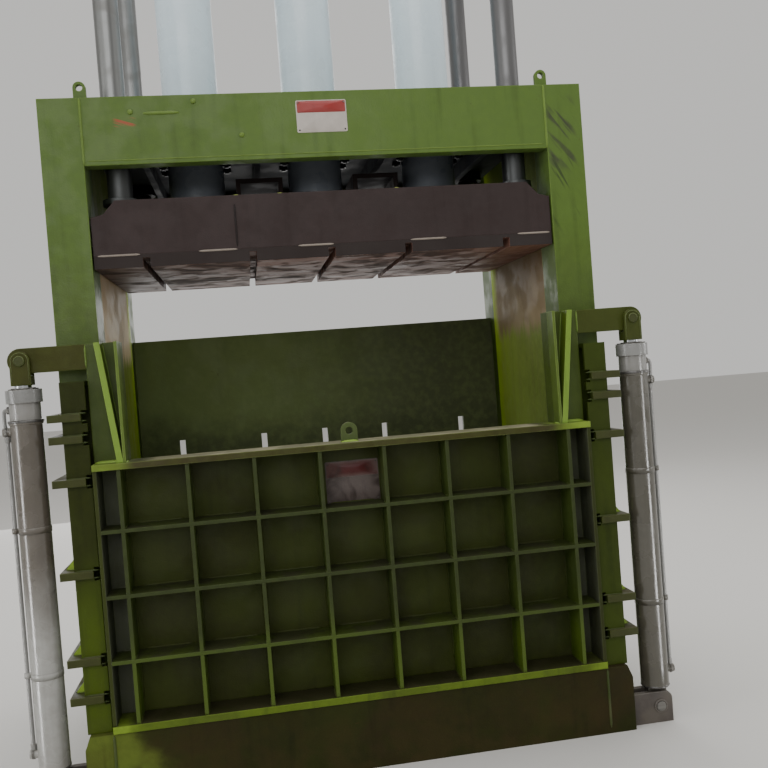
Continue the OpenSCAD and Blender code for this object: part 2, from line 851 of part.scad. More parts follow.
module platen_stiffeners() {
    color(platen_brown) placed() both_sides() difference() {
        block([stiff_x - stiff_w / 2, main_y - stiff_d / 2, platen_top],
              [stiff_x + stiff_w / 2, main_y + stiff_d / 2, platen_top + stiff_h]);
        block([stiff_x - stiff_w / 2 + box_t, main_y - stiff_d, platen_top - 1],
              [stiff_x + stiff_w / 2 - box_t, main_y + stiff_d, platen_top + stiff_h - box_t]);
    }
}

module main_rod(x) {
    placed() translate([x, main_y, 0]) difference() {
        union() {
            translate([0, 0, platen_top]) cylinder(r = rod_flange_r, h = rod_flange_t);
            translate([0, 0, platen_top]) cylinder(r = rod_r, h = piston_z - platen_top + 1);
            translate([0, 0, piston_z]) cylinder(r = main_bore - seat_gap, h = piston_t);
        }
        translate([0, 0, platen_top - 1]) around(bolt_count, rod_pcd)
            cylinder(r = bolt_r + seat_gap, h = rod_flange_t + 2);
    }
}

module left_main_rod() {
    color(steel_grey) main_rod(-main_pitch);
}

module centre_main_rod() {
    color(steel_grey) main_rod(0);
}

module right_main_rod() {
    color(steel_grey) main_rod(main_pitch);
}

module rod_flange_bolts() {
    color(steel_grey) placed() for (x = main_xs)
        translate([x, main_y, 0]) around(bolt_count, rod_pcd)
            hex_bolt(platen_top + rod_flange_t, rod_flange_t + box_top_t);
}

module guide_column(y) {
    both_sides() translate([guide_x, y, 0]) {
        translate([0, 0, platen_top]) cylinder(r = guide_r, h = guide_top - platen_top);
        translate([0, 0, platen_top]) cylinder(r = guide_r + bush_t, h = bush_t);
    }
}

module front_guide_columns() {
    color(steel_grey) placed() guide_column(guide_front_y);
}

module rear_guide_columns() {
    color(steel_grey) placed() guide_column(guide_rear_y);
}

// Gate

// A back plate with a side plate near each edge, outside which its tongues run in the guides
module gate_skin() {
    tongue_x = gate_x + tongue_w;
    color(dark_green) placed() {
        block([-tongue_x, skin_y, grid_z], [tongue_x, gate_d, grid_top]);
        both_sides() block([gate_x - grid_t, 0, grid_z], [gate_x, skin_y + 1, grid_top]);
    }
}

// Upright ribs, halved from the front where the cross ribs pass
module gate_uprights() {
    color(edge_green) placed() difference() {
        for (x = upright_xs)
            block([x - grid_t / 2, 0, grid_z], [x + grid_t / 2, skin_y, grid_top]);
        for (z = cross_zs)
            block([-gate_x, -1, z - grid_t / 2 - seat_gap],
                  [gate_x, (skin_y + seat_gap) / 2, z + grid_t / 2 + seat_gap]);
    }
}

// Cross ribs, halved from behind where the uprights pass
module gate_cross_ribs() {
    reach = gate_x - grid_t - seat_gap;
    color(edge_green) placed() difference() {
        for (z = cross_zs)
            block([-reach, 0, z - grid_t / 2], [reach, skin_y, z + grid_t / 2]);
        for (x = upright_xs)
            block([x - grid_t / 2 - seat_gap, (skin_y - seat_gap) / 2, grid_z],
                  [x + grid_t / 2 + seat_gap, skin_y + 1, grid_top]);
    }
}

module gate_top_plate() {
    color(edge_green) placed() block([-gate_x, -plate_proud, grid_top], [gate_x, gate_d, gate_top]);
}

module gate_foot_plate() {
    color(edge_green) placed() block([-gate_x, -plate_proud, gate_z], [gate_x, gate_d, grid_z]);
}

// A face plate with a return along its inner edge
module ear() {
    block([ear_in, ear_face_y, gate_top], [gate_x, ear_face_y + ear_t, ear_top]);
    block([ear_in, ear_face_y, gate_top], [ear_in + ear_t, gate_d, ear_top]);
}

module left_ear() {
    color(paint_green) placed() mirror([1, 0, 0]) ear();
}

module right_ear() {
    color(paint_green) placed() ear();
}

// An upright rib along the inner edge of each ear and a slanted one that meets it at its foot
module ear_bars() {
    slant_in = ear_in + ear_edge_t;
    color(edge_green) placed() both_sides() upright_plate(0, ear_face_y) union() {
        translate([ear_in, gate_top]) square([ear_edge_t, ear_h]);
        polygon([
            [slant_in - 1, gate_top], [slant_in + ear_rib_t, gate_top],
            [slant_in + ear_rib_t + ear_slant, ear_top], [slant_in + ear_slant, ear_top]
        ]);
    }
}

// An arm carries on the ear's face plate outwards, to the clevis
module lift_arms() {
    color(edge_green) placed() both_sides() upright_plate(ear_face_y, arm_t) difference() {
        union() {
            translate([gate_x, arm_z - arm_h / 2]) square([lift_x - gate_x, arm_h]);
            translate([lift_x, arm_z]) circle(r = arm_h / 2);
        }
        translate([lift_x, arm_z]) circle(r = pin_r + run_gap);
    }
}

module gate_eye() {
    color(edge_green) placed() upright_plate(gate_d / 3, lug_t)
        lug_outline(eye_w, eye_h, eye_hole_r, gate_top);
}

module lift_clevises() {
    fork = arm_t / 2 + fork_gap;
    color(edge_green) placed() both_sides() translate([lift_x, lift_y, 0]) difference() {
        upright_plate(-fork - cheek_t, 2 * (fork + cheek_t)) union() {
            translate([-clevis_w / 2, clevis_z]) square([clevis_w, arm_z - clevis_z]);
            translate([0, arm_z]) circle(r = clevis_w / 2);
        }
        block([-clevis_w, -fork, clevis_z + 32], [clevis_w, fork, ear_top]);
        cross_hole(0, arm_z, pin_r + run_gap, clevis_w);
    }
}

module clevis_pins() {
    reach = arm_t / 2 + fork_gap + cheek_t + pin_proud;
    color(steel_grey) placed() both_sides()
        translate([lift_x, lift_y + reach, arm_z]) rotate([90, 0, 0])
            cylinder(r = pin_r, h = 2 * reach);
}

module lift_rod() {
    placed() translate([lift_x, lift_y, 0]) {
        translate([0, 0, lift_piston_z]) cylinder(r = lift_rod_r, h = clevis_z - lift_piston_z);
        translate([0, 0, lift_piston_z]) cylinder(r = lift_bore - seat_gap, h = lift_piston_t);
    }
}

module left_lift_rod() {
    color(steel_grey) mirror([1, 0, 0]) lift_rod();
}

module right_lift_rod() {
    color(steel_grey) lift_rod();
}

base_front_beam();
base_rear_beam();
base_side_beams();
base_stringers();
chamber_floor();
floor_wear_bars();
left_front_post();
right_front_post();
left_rear_post();
right_rear_post();
left_side_wall();
right_side_wall();
left_side_ribs();
right_side_ribs();
left_gate_keepers();
right_gate_keepers();
back_wall();
back_wall_ribs();
front_top_beam();
rear_top_beam();
cylinder_deck();
deck_ribs();
lifting_lugs();
left_main_barrel();
centre_main_barrel();
right_main_barrel();
main_glands();
barrel_flanges();
flange_bolts();
guide_bushes();
left_lift_barrel();
right_lift_barrel();
lift_heads();
lift_brackets();
foot_pins();
lift_pipes();
pressing_plate();
platen_box();
platen_ribs();
platen_stiffeners();
left_main_rod();
centre_main_rod();
right_main_rod();
rod_flange_bolts();
front_guide_columns();
rear_guide_columns();
gate_skin();
gate_uprights();
gate_cross_ribs();
gate_top_plate();
gate_foot_plate();
left_ear();
right_ear();
ear_bars();
lift_arms();
gate_eye();
lift_clevises();
clevis_pins();
left_lift_rod();
right_lift_rod();
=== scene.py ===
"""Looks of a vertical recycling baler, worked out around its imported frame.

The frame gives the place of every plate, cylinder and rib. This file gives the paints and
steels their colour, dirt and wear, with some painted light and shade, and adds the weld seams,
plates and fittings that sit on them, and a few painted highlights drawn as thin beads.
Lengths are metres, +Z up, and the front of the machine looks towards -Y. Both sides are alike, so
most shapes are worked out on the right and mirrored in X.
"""

import logging
import math
from collections.abc import Sequence
from dataclasses import dataclass, field, replace
from enum import Enum
from functools import cache, reduce
from itertools import pairwise, product

import bmesh
import bpy
import numpy as np
from mathutils import Matrix, Vector


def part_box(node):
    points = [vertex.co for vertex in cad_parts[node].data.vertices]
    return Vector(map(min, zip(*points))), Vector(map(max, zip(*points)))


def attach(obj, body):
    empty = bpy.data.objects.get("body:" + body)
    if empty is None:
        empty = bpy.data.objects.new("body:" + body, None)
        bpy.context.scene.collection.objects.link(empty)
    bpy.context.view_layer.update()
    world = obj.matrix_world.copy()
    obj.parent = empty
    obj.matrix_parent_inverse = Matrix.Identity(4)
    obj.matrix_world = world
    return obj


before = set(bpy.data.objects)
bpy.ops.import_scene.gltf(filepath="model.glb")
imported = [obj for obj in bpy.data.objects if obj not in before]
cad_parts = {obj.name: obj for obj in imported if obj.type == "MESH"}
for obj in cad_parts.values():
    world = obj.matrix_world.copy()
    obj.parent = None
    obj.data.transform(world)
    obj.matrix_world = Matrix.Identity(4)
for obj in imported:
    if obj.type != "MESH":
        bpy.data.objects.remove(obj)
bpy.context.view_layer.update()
LOG = logging.getLogger("baler")

Socket = bpy.types.NodeSocket
Colour = tuple[float, float, float]
Place = tuple[float, float, float]
Pair = tuple[float, float]
Span = float | Pair

X, Y, Z = np.eye(3)
MIRROR = np.array([-1.0, 1.0, 1.0])
SIDES = (-1.0, 1.0)


class Body(Enum):
    """The parts of the machine that move as one."""

    FRAME = "root"
    PLATEN = "platen"
    GATE = "gate"


class Slot(Enum):
    """The record's finishes."""

    GREEN = "green_paint"
    EDGE = "edge_paint"
    INNER = "inner_paint"
    GLOSS = "gloss_paint"
    DUSTY = "dusty_paint"
    STAINED = "stained_paint"
    BROWN = "brown_primer"
    PALE = "pale_paint"
    GREY = "grey_paint"
    WORN = "worn_steel"
    COLUMN = "column_steel"
    MACHINED = "machined_steel"
    CHROME = "rod_chrome"


class Look(Enum):
    """Every finish as it looks in its own place on the machine."""

    FRAME = "frame_green"
    UNDERSIDE_SHADE = "underside_shade_grey"
    LEFT_CHANNEL = "left_channel_green"
    RIGHT_CHANNEL = "right_channel_green"
    SIDE_RIB = "side_rib_green"
    EAR = "ear_green"
    EAR_RIB = "ear_rib_green"
    ARM = "arm_green"
    GRID = "grid_green"
    CELL = "cell_green"
    LIP = "lip_green"
    FOOT_LIP = "foot_lip_green"
    EYE = "eye_green"
    BACK_WALL = "back_wall_green"
    LEFT_WALL = "left_wall_green"
    RIGHT_WALL = "right_wall_green"
    BASE = "base_green"
    FRAME_WELD_AND_HIGHLIGHT = "frame_weld_and_highlight"
    BRIGHT_WELD = "bright_weld"
    ARCH_HIGHLIGHT = "arch_highlight_paint"
    GRID_WELD = "grid_weld"
    PLATEN = "platen_brown"
    PLATEN_WELD = "platen_weld"
    LIP_WELD = "lip_weld"
    TAG = "yellow_green_tag"
    BARREL = "barrel_pale"
    LEFT_LIFT = "left_lift_grey"
    RIGHT_LIFT = "right_lift_grey"
    LIFT_HEAD = "lift_head_grey"
    LIFT_WELD = "lift_weld_grey"
    PIN = "painted_pin"
    BRACKET = "bracket_grey"
    SIGN = "sign_pale"
    SIGN_BAND = "sign_band"
    DIRTY_SIGN = "dirty_sign_pale"
    DIRTY_BAND = "dirty_sign_band"
    FLOOR = "floor_steel"
    PRESS = "press_steel"
    COLUMN = "column_steel"
    TURNED = "turned_steel"
    CHROME = "chrome_rod"


def rgb(*screen: int) -> Colour:
    """Turns a screen colour of 0 to 255 into the linear colour that a shader works with."""
    v = np.array(screen) / 255.0
    return tuple(np.where(v <= 0.04045, v / 12.92, ((v + 0.055) / 1.055) ** 2.4).tolist())


def tinted(colour: Colour, factor: float) -> Colour:
    """Makes a colour brighter or darker, up to white."""
    return tuple(min(1.0, factor * v) for v in colour)


def corners(node: str) -> np.ndarray:
    """Gives the lowest and highest corner of a node of the frame, as two rows."""
    return np.array(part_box(node), float)


def at(x: float, y: float, z: float) -> np.ndarray:
    """Gives a point as an array."""
    return np.array([x, y, z], float)


def shown(name: str, data: bpy.types.ID) -> bpy.types.Object:
    """Puts an object into the scene.

    Args:
        name: Its name.
        data: What it holds.

    Returns:
        The object.
    """
    thing = bpy.data.objects.new(name, data)
    bpy.context.scene.collection.objects.link(thing)
    return thing


# Shader building


class Shader:
    """A material's node tree, with a short call for each node that the finishes use."""

    def __init__(self, name: str) -> None:
        """Starts an empty material with one shader and its output.

        Args:
            name: Name of the material.
        """
        self.material = bpy.data.materials.new(name)
        self.material.use_nodes = True
        self.tree = self.material.node_tree
        self.tree.nodes.clear()
        self.surface = self.node("BsdfPrincipled")
        self.node("OutputMaterial", {0: self.surface.outputs[0]})
        self.place = self.node("TexCoord").outputs["Object"]
        self.normal = self.node("NewGeometry").outputs["Normal"]

    def link(self, value: object, socket: Socket) -> None:
        """Joins an output to a socket, or sets the socket to a plain value.

        Args:
            value: The output, number or colour.
            socket: The socket.
        """
        if isinstance(value, Socket):
            self.tree.links.new(value, socket)
        else:
            socket.default_value = (*value, 1.0) if socket.type == "RGBA" else value

    def node(self, kind: str, inputs: dict[str | int, object] | None = None,
             **settings: object) -> bpy.types.Node:
        """Adds a node.

        Args:
            kind: Its kind, without the word that all kinds begin with.
            inputs: Value or output for each input, by its name or number.
            **settings: Its own settings.

        Returns:
            The node.
        """
        node = self.tree.nodes.new("ShaderNode" + kind)
        for name, value in settings.items():
            setattr(node, name, value)
        for key, value in (inputs or {}).items():
            self.link(value, node.inputs[key])
        return node

    def noise(self, scale: float, detail: float = 4.0, stretch: Place | None = None,
              distortion: float = 0.0) -> Socket:
        """Adds a cloud pattern.

        Args:
            scale: Clouds a metre.
            detail: Octaves of finer cloud.
            stretch: Scale along each axis, or None for none.
            distortion: How far the clouds curl.

        Returns:
            The pattern, from 0 to 1.
        """
        place = self.place
        if stretch:
            place = self.node("Mapping", {"Scale": stretch, "Vector": place}).outputs[0]
        return self.node("TexNoise", {"Vector": place, "Scale": scale, "Detail": detail,
                                      "Distortion": distortion}).outputs[0]

    def ramp(self, value: object, low: float, high: float, to_low: float = 0.0,
             to_high: float = 1.0) -> Socket:
        """Maps a value from low..high to to_low..to_high with smooth ends."""
        inputs = dict(enumerate((value, low, high, to_low, to_high)))
        return self.node("MapRange", inputs, interpolation_type="SMOOTHSTEP").outputs[0]

    def math(self, kind: str, first: object, second: object = 0.0, clamp: bool = False) -> Socket:
        """Works out one kind of sum of two values, kept from 0 to 1 where clamp is True."""
        return self.node("Math", {0: first, 1: second}, operation=kind, use_clamp=clamp).outputs[0]

    def times(self, *values: object) -> Socket:
        """Multiplies values that lie from 0 to 1."""
        return reduce(lambda first, other: self.math("MULTIPLY", first, other, True), values)

    def mix(self, factor: object, first: object, second: object) -> Socket:
        """Blends two colours, with factor 0 for the first and 1 for the second."""
        return self.node("Mix", {0: factor, 6: first, 7: second}, data_type="RGBA").outputs[2]

    def along(self, axis: str, mirrored: bool = False) -> Socket:
        """Gives the object's place along an axis, or where mirrored the distance from 0."""
        place = self.node("SeparateXYZ", {0: self.place}).outputs[axis]
        return self.math("ABSOLUTE", place) if mirrored else place

    def facing(self, axis: str, low: float, high: float) -> Socket:
        """Gives 1 where the surface's normal reaches high along an axis, and 0 below low."""
        return self.ramp(self.node("SeparateXYZ", {0: self.normal}).outputs[axis], low, high)

    def edges(self, radius: float) -> tuple[Socket, Socket]:
        """Finds the edges of the plates.

        Args:
            radius: How far from an edge its wear, painted highlight and rounding reach.

        Returns:
            A mask that is 1 at edges, and the normal with its edges rounded.
        """
        rounded = self.node("Bevel", {"Radius": radius}, samples=4).outputs[0]
        dot = self.node("VectorMath", {0: rounded, 1: self.normal}, operation="DOT_PRODUCT")
        return self.ramp(dot.outputs["Value"], 0.995, 0.86), rounded

    def bump(self, height: Socket, depth: float, normal: Socket) -> Socket:
        """Raises the surface from a normal by a height pattern, depth metres deep."""
        inputs = {"Distance": depth, "Height": height, "Normal": normal}
        return self.node("Bump", inputs).outputs[0]

    def finish(self, colour: object, roughness: object, normal: Socket | None = None,
               metallic: object = 0.0, coat: float = 0.0, shine: float = 0.5) -> bpy.types.Material:
        """Joins the results to the shader.

        Args:
            colour: Base colour.
            roughness: Roughness.
            normal: Normal, or None for the surface's own.
            metallic: Share of bare metal.
            coat: Weight of a clear coat.
            shine: How strongly the surface reflects.

        Returns:
            The material.
        """
        results = {"Base Color": colour, "Roughness": roughness, "Metallic": metallic,
                   "Specular IOR Level": shine, "Coat Weight": coat, "Coat Roughness": 0.12}
        if normal:
            results["Normal"] = normal
        for name, value in results.items():
            self.link(value, self.surface.inputs[name])
        return self.material


@dataclass(frozen=True)
class Drift:
    """Another colour that takes over along one axis, with a ragged border."""

    axis: str
    start: float
    end: float
    colour: Colour
    amount: float = 1.0
    blur: float = 0.1
    mirrored: bool = False
    fade: Pair | None = None

    def lay(self, shader: Shader, colour: object) -> Socket:
        """Lays the colour over another.

        The mask is a smooth step of the place along the axis, shifted by a cloud pattern.
        Where fade is given, a second step takes the colour away again further on.

        Args:
            shader: The material's tree.
            colour: The colour below.

        Returns:
            The new colour.
        """
        shift = shader.ramp(shader.noise(5.0, 5.0), 0.0, 1.0, -self.blur, self.blur)
        place = shader.math("ADD", shader.along(self.axis, self.mirrored), shift)
        mask = shader.ramp(place, self.start, self.end, 0.0, self.amount)
        if self.fade:
            mask = shader.times(mask, shader.ramp(place, *self.fade, 1.0, 0.0))
        return shader.mix(mask, colour, self.colour)


@dataclass(frozen=True)
class Smear:
    """Strokes of another colour, rubbed on slantwise inside an upright field."""

    low: Pair
    high: Pair
    colour: Colour
    amount: float
    fineness: float
    length: float
    slant: float
    start: float

    def lay(self, shader: Shader, colour: object) -> Socket:
        """Lays the strokes over another colour.

        The strokes are one noise, fine across and slow along a direction that leans by slant
        from the upright. The field is four smooth steps of X and Z, in the machine's front half.

        Args:
            shader: The material's tree.
            colour: The colour below.

        Returns:
            The new colour.
        """
        across, height = shader.along("X"), shader.along("Z")
        lean = shader.math("ADD", across, shader.math("MULTIPLY", height, self.slant))
        stretched = shader.node("CombineXYZ", {
            0: shader.math("MULTIPLY", lean, self.fineness),
            2: shader.math("MULTIPLY", height, self.length)}).outputs[0]
        strokes = shader.node("TexNoise", {"Scale": 1.0, "Vector": stretched}).outputs[0]
        mask = shader.times(shader.ramp(strokes, self.start, self.start + 0.1, 0.0, self.amount),
                            shader.ramp(shader.along("Y"), 0.0, -0.1))
        for place, low, high in zip((across, height), self.low, self.high):
            soft = 0.25 * (high - low)
            mask = shader.times(mask, shader.ramp(place, low, low + soft),
                                shader.ramp(place, high - soft, high, 1.0, 0.0))
        return shader.mix(mask, colour, self.colour)


# Faces turned this far to the front take a painted front tone: painted light and shade.
TOWARDS_FRONT = ("Y", -0.6, -0.95)


@dataclass(frozen=True)
class Paint:
    """Paint on welded plate: clouded colour, worn edges, rain streaks, dusty tops and chipping.

    The edge colour is partly wear and partly a painted highlight, and faces that look to the front
    take their own tone, painted light on some pieces and painted shade on others. On the gate ribs
    and foot plate the colour on top is partly dirt and partly painted shade, and on the lift's weld
    rings the chipped spots are painted glints.
    """

    slot: Slot
    colour: Colour
    shade: Colour
    # edge: colour along the edges, partly wear and partly a painted highlight
    edge: Colour
    dust_and_shade: Colour = rgb(104, 96, 74)
    rust_and_glint: Colour = rgb(74, 52, 34)
    # front: tone of faces that look to the front, painted light on some pieces and painted shade on
    # others
    front: Colour | None = None
    stain: Colour | None = None
    stains: float = 0.8
    stain_scale: float = 3.0
    drifts: tuple[Drift | Smear, ...] = ()
    roughness: float = 0.45
    edge_wear_and_highlight: float = 0.7
    edge_reach: float = 0.006
    streaks: float = 0.35
    dusting_and_shade: float = 0.4
    dust_within: float | None = None
    chips_and_glints: float = 0.35
    foot_dirt: float = 0.4
    coat: float = 0.0
    shine: float = 0.28
    mottle: float = 0.2

    def ground(self, shader: Shader, clouds: Socket) -> Socket:
        """Mixes the paint's two greens by slow clouds, a painted front tone, drifts, stains and
        streaks.

        Args:
            shader: The material's tree.
            clouds: Slow cloud pattern.

        Returns:
            The colour before dirt and wear.
        """
        colour = shader.mix(clouds, self.colour, self.shade)
        # Painted light and shade: faces that look to the front take their own tone.
        if self.front:
            colour = shader.mix(shader.facing(*TOWARDS_FRONT), colour, self.front)
        for drift in self.drifts:
            colour = drift.lay(shader, colour)
        if self.stain:
            pools = shader.noise(self.stain_scale, 6.0, distortion=0.8)
            pools = shader.ramp(pools, 0.42, 0.62, 0.0, self.stains)
            colour = shader.mix(pools, colour, self.stain)
        streak = shader.noise(1.0, 5.0, (26.0, 26.0, 1.6))
        streak = shader.ramp(streak, 0.52, 0.78, 0.0, self.streaks)
        colour = shader.mix(streak, colour, tinted(self.shade, 0.45))
        mottling = shader.ramp(shader.noise(34.0, 3.0), 0.35, 0.75, 0.0, self.mottle)
        return shader.mix(mottling, colour, tinted(self.colour, 1.3))

    def build(self, name: str) -> bpy.types.Material:
        """Makes the material.

        Over the ground lie a dusty colour where the plate looks up or stands near the floor, partly
        painted shade on the tops of the gate ribs and foot plate; the edge colour along every edge
        that is rubbed, partly wear and partly a painted highlight; and small chipped spots, rusty
        on most paints and near-white painted glints on the lift's weld rings.

        Args:
            name: Name of the material.

        Returns:
            The material.
        """
        shader = Shader(name)
        clouds = shader.ramp(shader.noise(1.7, 5.0, distortion=0.6), 0.3, 0.7)
        colour = self.ground(shader, clouds)
        spread = shader.ramp(shader.noise(9.0, 6.0), 0.38, 0.62)
        near_floor = shader.ramp(shader.along("Z"), 0.34, 0.01, 0.0, self.foot_dirt)
        colour = shader.mix(shader.times(near_floor, spread), colour, self.dust_and_shade)
        # Upward faces take a dusty colour, on the gate ribs and foot plate partly painted shade.
        top_dust_and_shade = shader.times(shader.facing("Z", 0.55, 0.95),
                               shader.ramp(spread, 0.0, 1.0, 0.5 * self.dusting_and_shade, self.dusting_and_shade))
        if self.dust_within:
            inner, outer = self.dust_within - 0.03, self.dust_within + 0.03
            top_dust_and_shade = shader.times(top_dust_and_shade, shader.ramp(shader.along("X", True), inner, outer,
                                                        1.0, 0.0))
        colour = shader.mix(top_dust_and_shade, colour, self.dust_and_shade)
        # Edge colour: partly wear, partly a painted highlight along the edges.
        edge_mask, soft_normal = shader.edges(self.edge_reach)
        edge_breakup = shader.ramp(shader.noise(21.0, 4.0), 0.3, 0.6, 0.45, 1.0)
        colour = shader.mix(shader.times(edge_mask, edge_breakup, self.edge_wear_and_highlight), colour, self.edge)
        # Chipped spots: rusty on most paints, near-white painted glints on the lift's weld rings.
        chip_and_glint = shader.ramp(shader.noise(48.0, 5.0, distortion=1.2), 0.70, 0.76, 0.0, self.chips_and_glints)
        colour = shader.mix(chip_and_glint, colour, self.rust_and_glint)
        rough = shader.math("ADD", shader.ramp(spread, 0.0, 1.0, self.roughness - 0.06,
                                               self.roughness + 0.12),
                            shader.times(shader.math("ADD", top_dust_and_shade, chip_and_glint, True), 0.4), True)
        normal = shader.bump(clouds, 0.004, soft_normal)
        normal = shader.bump(shader.noise(160.0, 2.0), 0.0006, normal)
        return shader.finish(colour, rough, normal, coat=self.coat, shine=self.shine)


@dataclass(frozen=True)
class ScrapedAndReflectingPaint(Paint):
    """Wall paint scraped upright by the scrap to pale, rusty plate in a band, partly a painted
    reflection.
    """

    # Pale and brown of the band: scraped plate, and partly a painted reflection.
    bare_and_reflection: Colour = rgb(160, 142, 110)
    burnt_and_reflection: Colour = rgb(104, 80, 52)
    band_low: float = 1.53
    band_high: float = 1.90
    outer: Colour = rgb(78, 101, 38)
    inner_face: float = float(corners("right_side_wall")[0][0])
    # Painted light: the rear edge is made brighter.
    rear_edge_light: Drift = Drift("Y", 0.34, 0.46, rgb(176, 212, 50), 0.85, 0.04)

    def ground(self, shader: Shader, clouds: Socket) -> Socket:
        """Lays a band of pale and brown plate over the paint of the inner face, and a painted
        light.

        The band is partly scraped plate and partly a painted reflection on the glossy face. Its
        lower border is ragged by tall thin clouds, and inside it slow clouds choose between the
        pale and the brown. The face is made brighter at its rear edge, a painted light.

        Args:
            shader: The material's tree.
            clouds: Slow cloud pattern.

        Returns:
            The colour before dirt and wear.
        """
        low, high = self.band_low, self.band_high
        colour = super().ground(shader, clouds)
        # The band: scraped plate, and partly a painted reflection on the glossy inner face.
        upright_streaks = shader.noise(1.0, 6.0, (30.0, 30.0, 3.0))
        height = shader.along("Z")
        ragged = shader.math("ADD", height, shader.times(upright_streaks, 0.16))
        band = shader.times(shader.ramp(ragged, low + 0.05, low + 0.13, 0.0, 0.95),
                            shader.ramp(height, high, high + 0.08, 1.0, 0.0))
        patch = shader.ramp(shader.noise(4.0, 6.0, distortion=1.0), 0.4, 0.6)
        # Pale and brown plate of the band, partly a painted reflection.
        metal = shader.mix(shader.ramp(height, low + 0.12, high - 0.06), self.bare_and_reflection, self.burnt_and_reflection)
        metal = shader.mix(shader.times(patch, 0.45), metal, self.burnt_and_reflection)
        lines = shader.ramp(upright_streaks, 0.45, 0.65, 0.0, 0.12)
        walls = shader.mix(band, shader.mix(lines, colour, tinted(self.bare_and_reflection, 0.5)), metal)
        # Painted light: the rear edge is made brighter.
        walls = self.rear_edge_light.lay(shader, walls)
        outside = shader.ramp(shader.along("X", True), self.inner_face + 0.004,
                              self.inner_face + 0.006)
        return shader.mix(outside, walls, self.outer)


@dataclass(frozen=True)
class Steel:
    """Bare steel: brushed, turned or worn, with greasy, rusty stains where it isn't rubbed."""

    slot: Slot
    colour: Colour
    stain: Colour
    roughness: float
    grain: Place
    stains: float
    stain_scale: float = 7.0
    metallic: float = 0.9
    edge_highlight: float = 0.35
    # front: tone of faces that look to the front, a painted shade; these faces also lose their
    # shine
    front: Colour | None = None
    drifts: tuple[Drift, ...] = ()

    def build(self, name: str) -> bpy.types.Material:
        """Makes the material.

        The grain is one noise stretched along the rubbing direction. Stains are slow clouds
        that take the shine away. Every edge is made lighter, a painted highlight.

        Args:
            name: Name of the material.

        Returns:
            The material.
        """
        shader = Shader(name)
        grain = shader.noise(1.0, 4.0, self.grain)
        stain = shader.ramp(shader.noise(self.stain_scale, 6.0, distortion=0.8), 0.42, 0.68, 0.0,
                            self.stains)
        colour = shader.mix(shader.ramp(grain, 0.3, 0.7), tinted(self.colour, 0.7), self.colour)
        colour = shader.mix(stain, colour, self.stain)
        edge_mask, soft_normal = shader.edges(0.003)
        # Painted highlight: the edges are made lighter.
        highlight_mask = shader.times(edge_mask, self.edge_highlight)
        colour = shader.mix(highlight_mask, colour, tinted(self.colour, 1.5))
        for drift in self.drifts:
            colour = drift.lay(shader, colour)
        # Painted shade: faces that look to the front take their own tone and lose their shine.
        if self.front:
            towards_front = shader.facing(*TOWARDS_FRONT)
            colour = shader.mix(towards_front, colour, self.front)
            stain = shader.math("MAXIMUM", stain, towards_front)
        rough = shader.math("ADD", shader.ramp(grain, 0.2, 0.8, self.roughness - 0.08,
                                               self.roughness + 0.1),
                            shader.times(stain, 0.4), True)
        metal = shader.ramp(stain, 0.0, 1.0, self.metallic, self.metallic * 0.35)
        return shader.finish(colour, rough, shader.bump(grain, 0.0004, soft_normal), metal)


# Finishes, with their places taken from the frame or measured on it

GUSSET_FEET = (0.380, 0.511, 0.809)
DECK_TOP = float(corners("cylinder_deck")[1][2])
GRID_END = float(corners("gate_cross_ribs")[1][0])

LIP_GREEN = rgb(128, 156, 50)
NECK = Drift("Z", 1.328, 1.338, rgb(136, 135, 132), 0.85, 0.0)
CHANNEL = Paint(
    Slot.EDGE, rgb(47, 54, 14), rgb(39, 44, 12), rgb(66, 80, 26), edge_wear_and_highlight=0.4, shine=0.12,
    drifts=(Drift("Z", 0.95, 0.55, rgb(68, 84, 18), 0.9),))
LIFT = Paint(
    Slot.GREY, rgb(90, 84, 75), rgb(82, 76, 68), rgb(150, 146, 138), dust_and_shade=rgb(104, 97, 85),
    roughness=0.24, streaks=0.2, chips_and_glints=0.12, coat=0.6, shine=0.5)
# Inner wall faces: far paler than the same paint outside (outer), brighter towards the rear and
# darker towards the front, painted light and shade; the band is partly a painted reflection.
SIDE_WALL = ScrapedAndReflectingPaint(
    Slot.GLOSS, rgb(140, 160, 76), rgb(128, 146, 68), rgb(160, 184, 80), roughness=0.55, chips_and_glints=0.3,
    streaks=0.25, shine=0.06,
    drifts=(Drift("X", 0.0, -0.5, rgb(126, 142, 62), 0.8),
            Drift("Y", 0.0, 0.5, rgb(168, 196, 66), 0.6),
            Drift("Y", 0.1, -0.25, rgb(106, 122, 60), 0.9)))
SIGN = Paint(
    Slot.PALE, rgb(186, 178, 170), rgb(166, 158, 150), rgb(200, 196, 190), roughness=0.35,
    streaks=0.15, chips_and_glints=0.2, edge_reach=0.001, coat=0.2)
DIRTY = replace(SIGN, stains=0.8, stain_scale=14.0, streaks=0.5, coat=0.0)

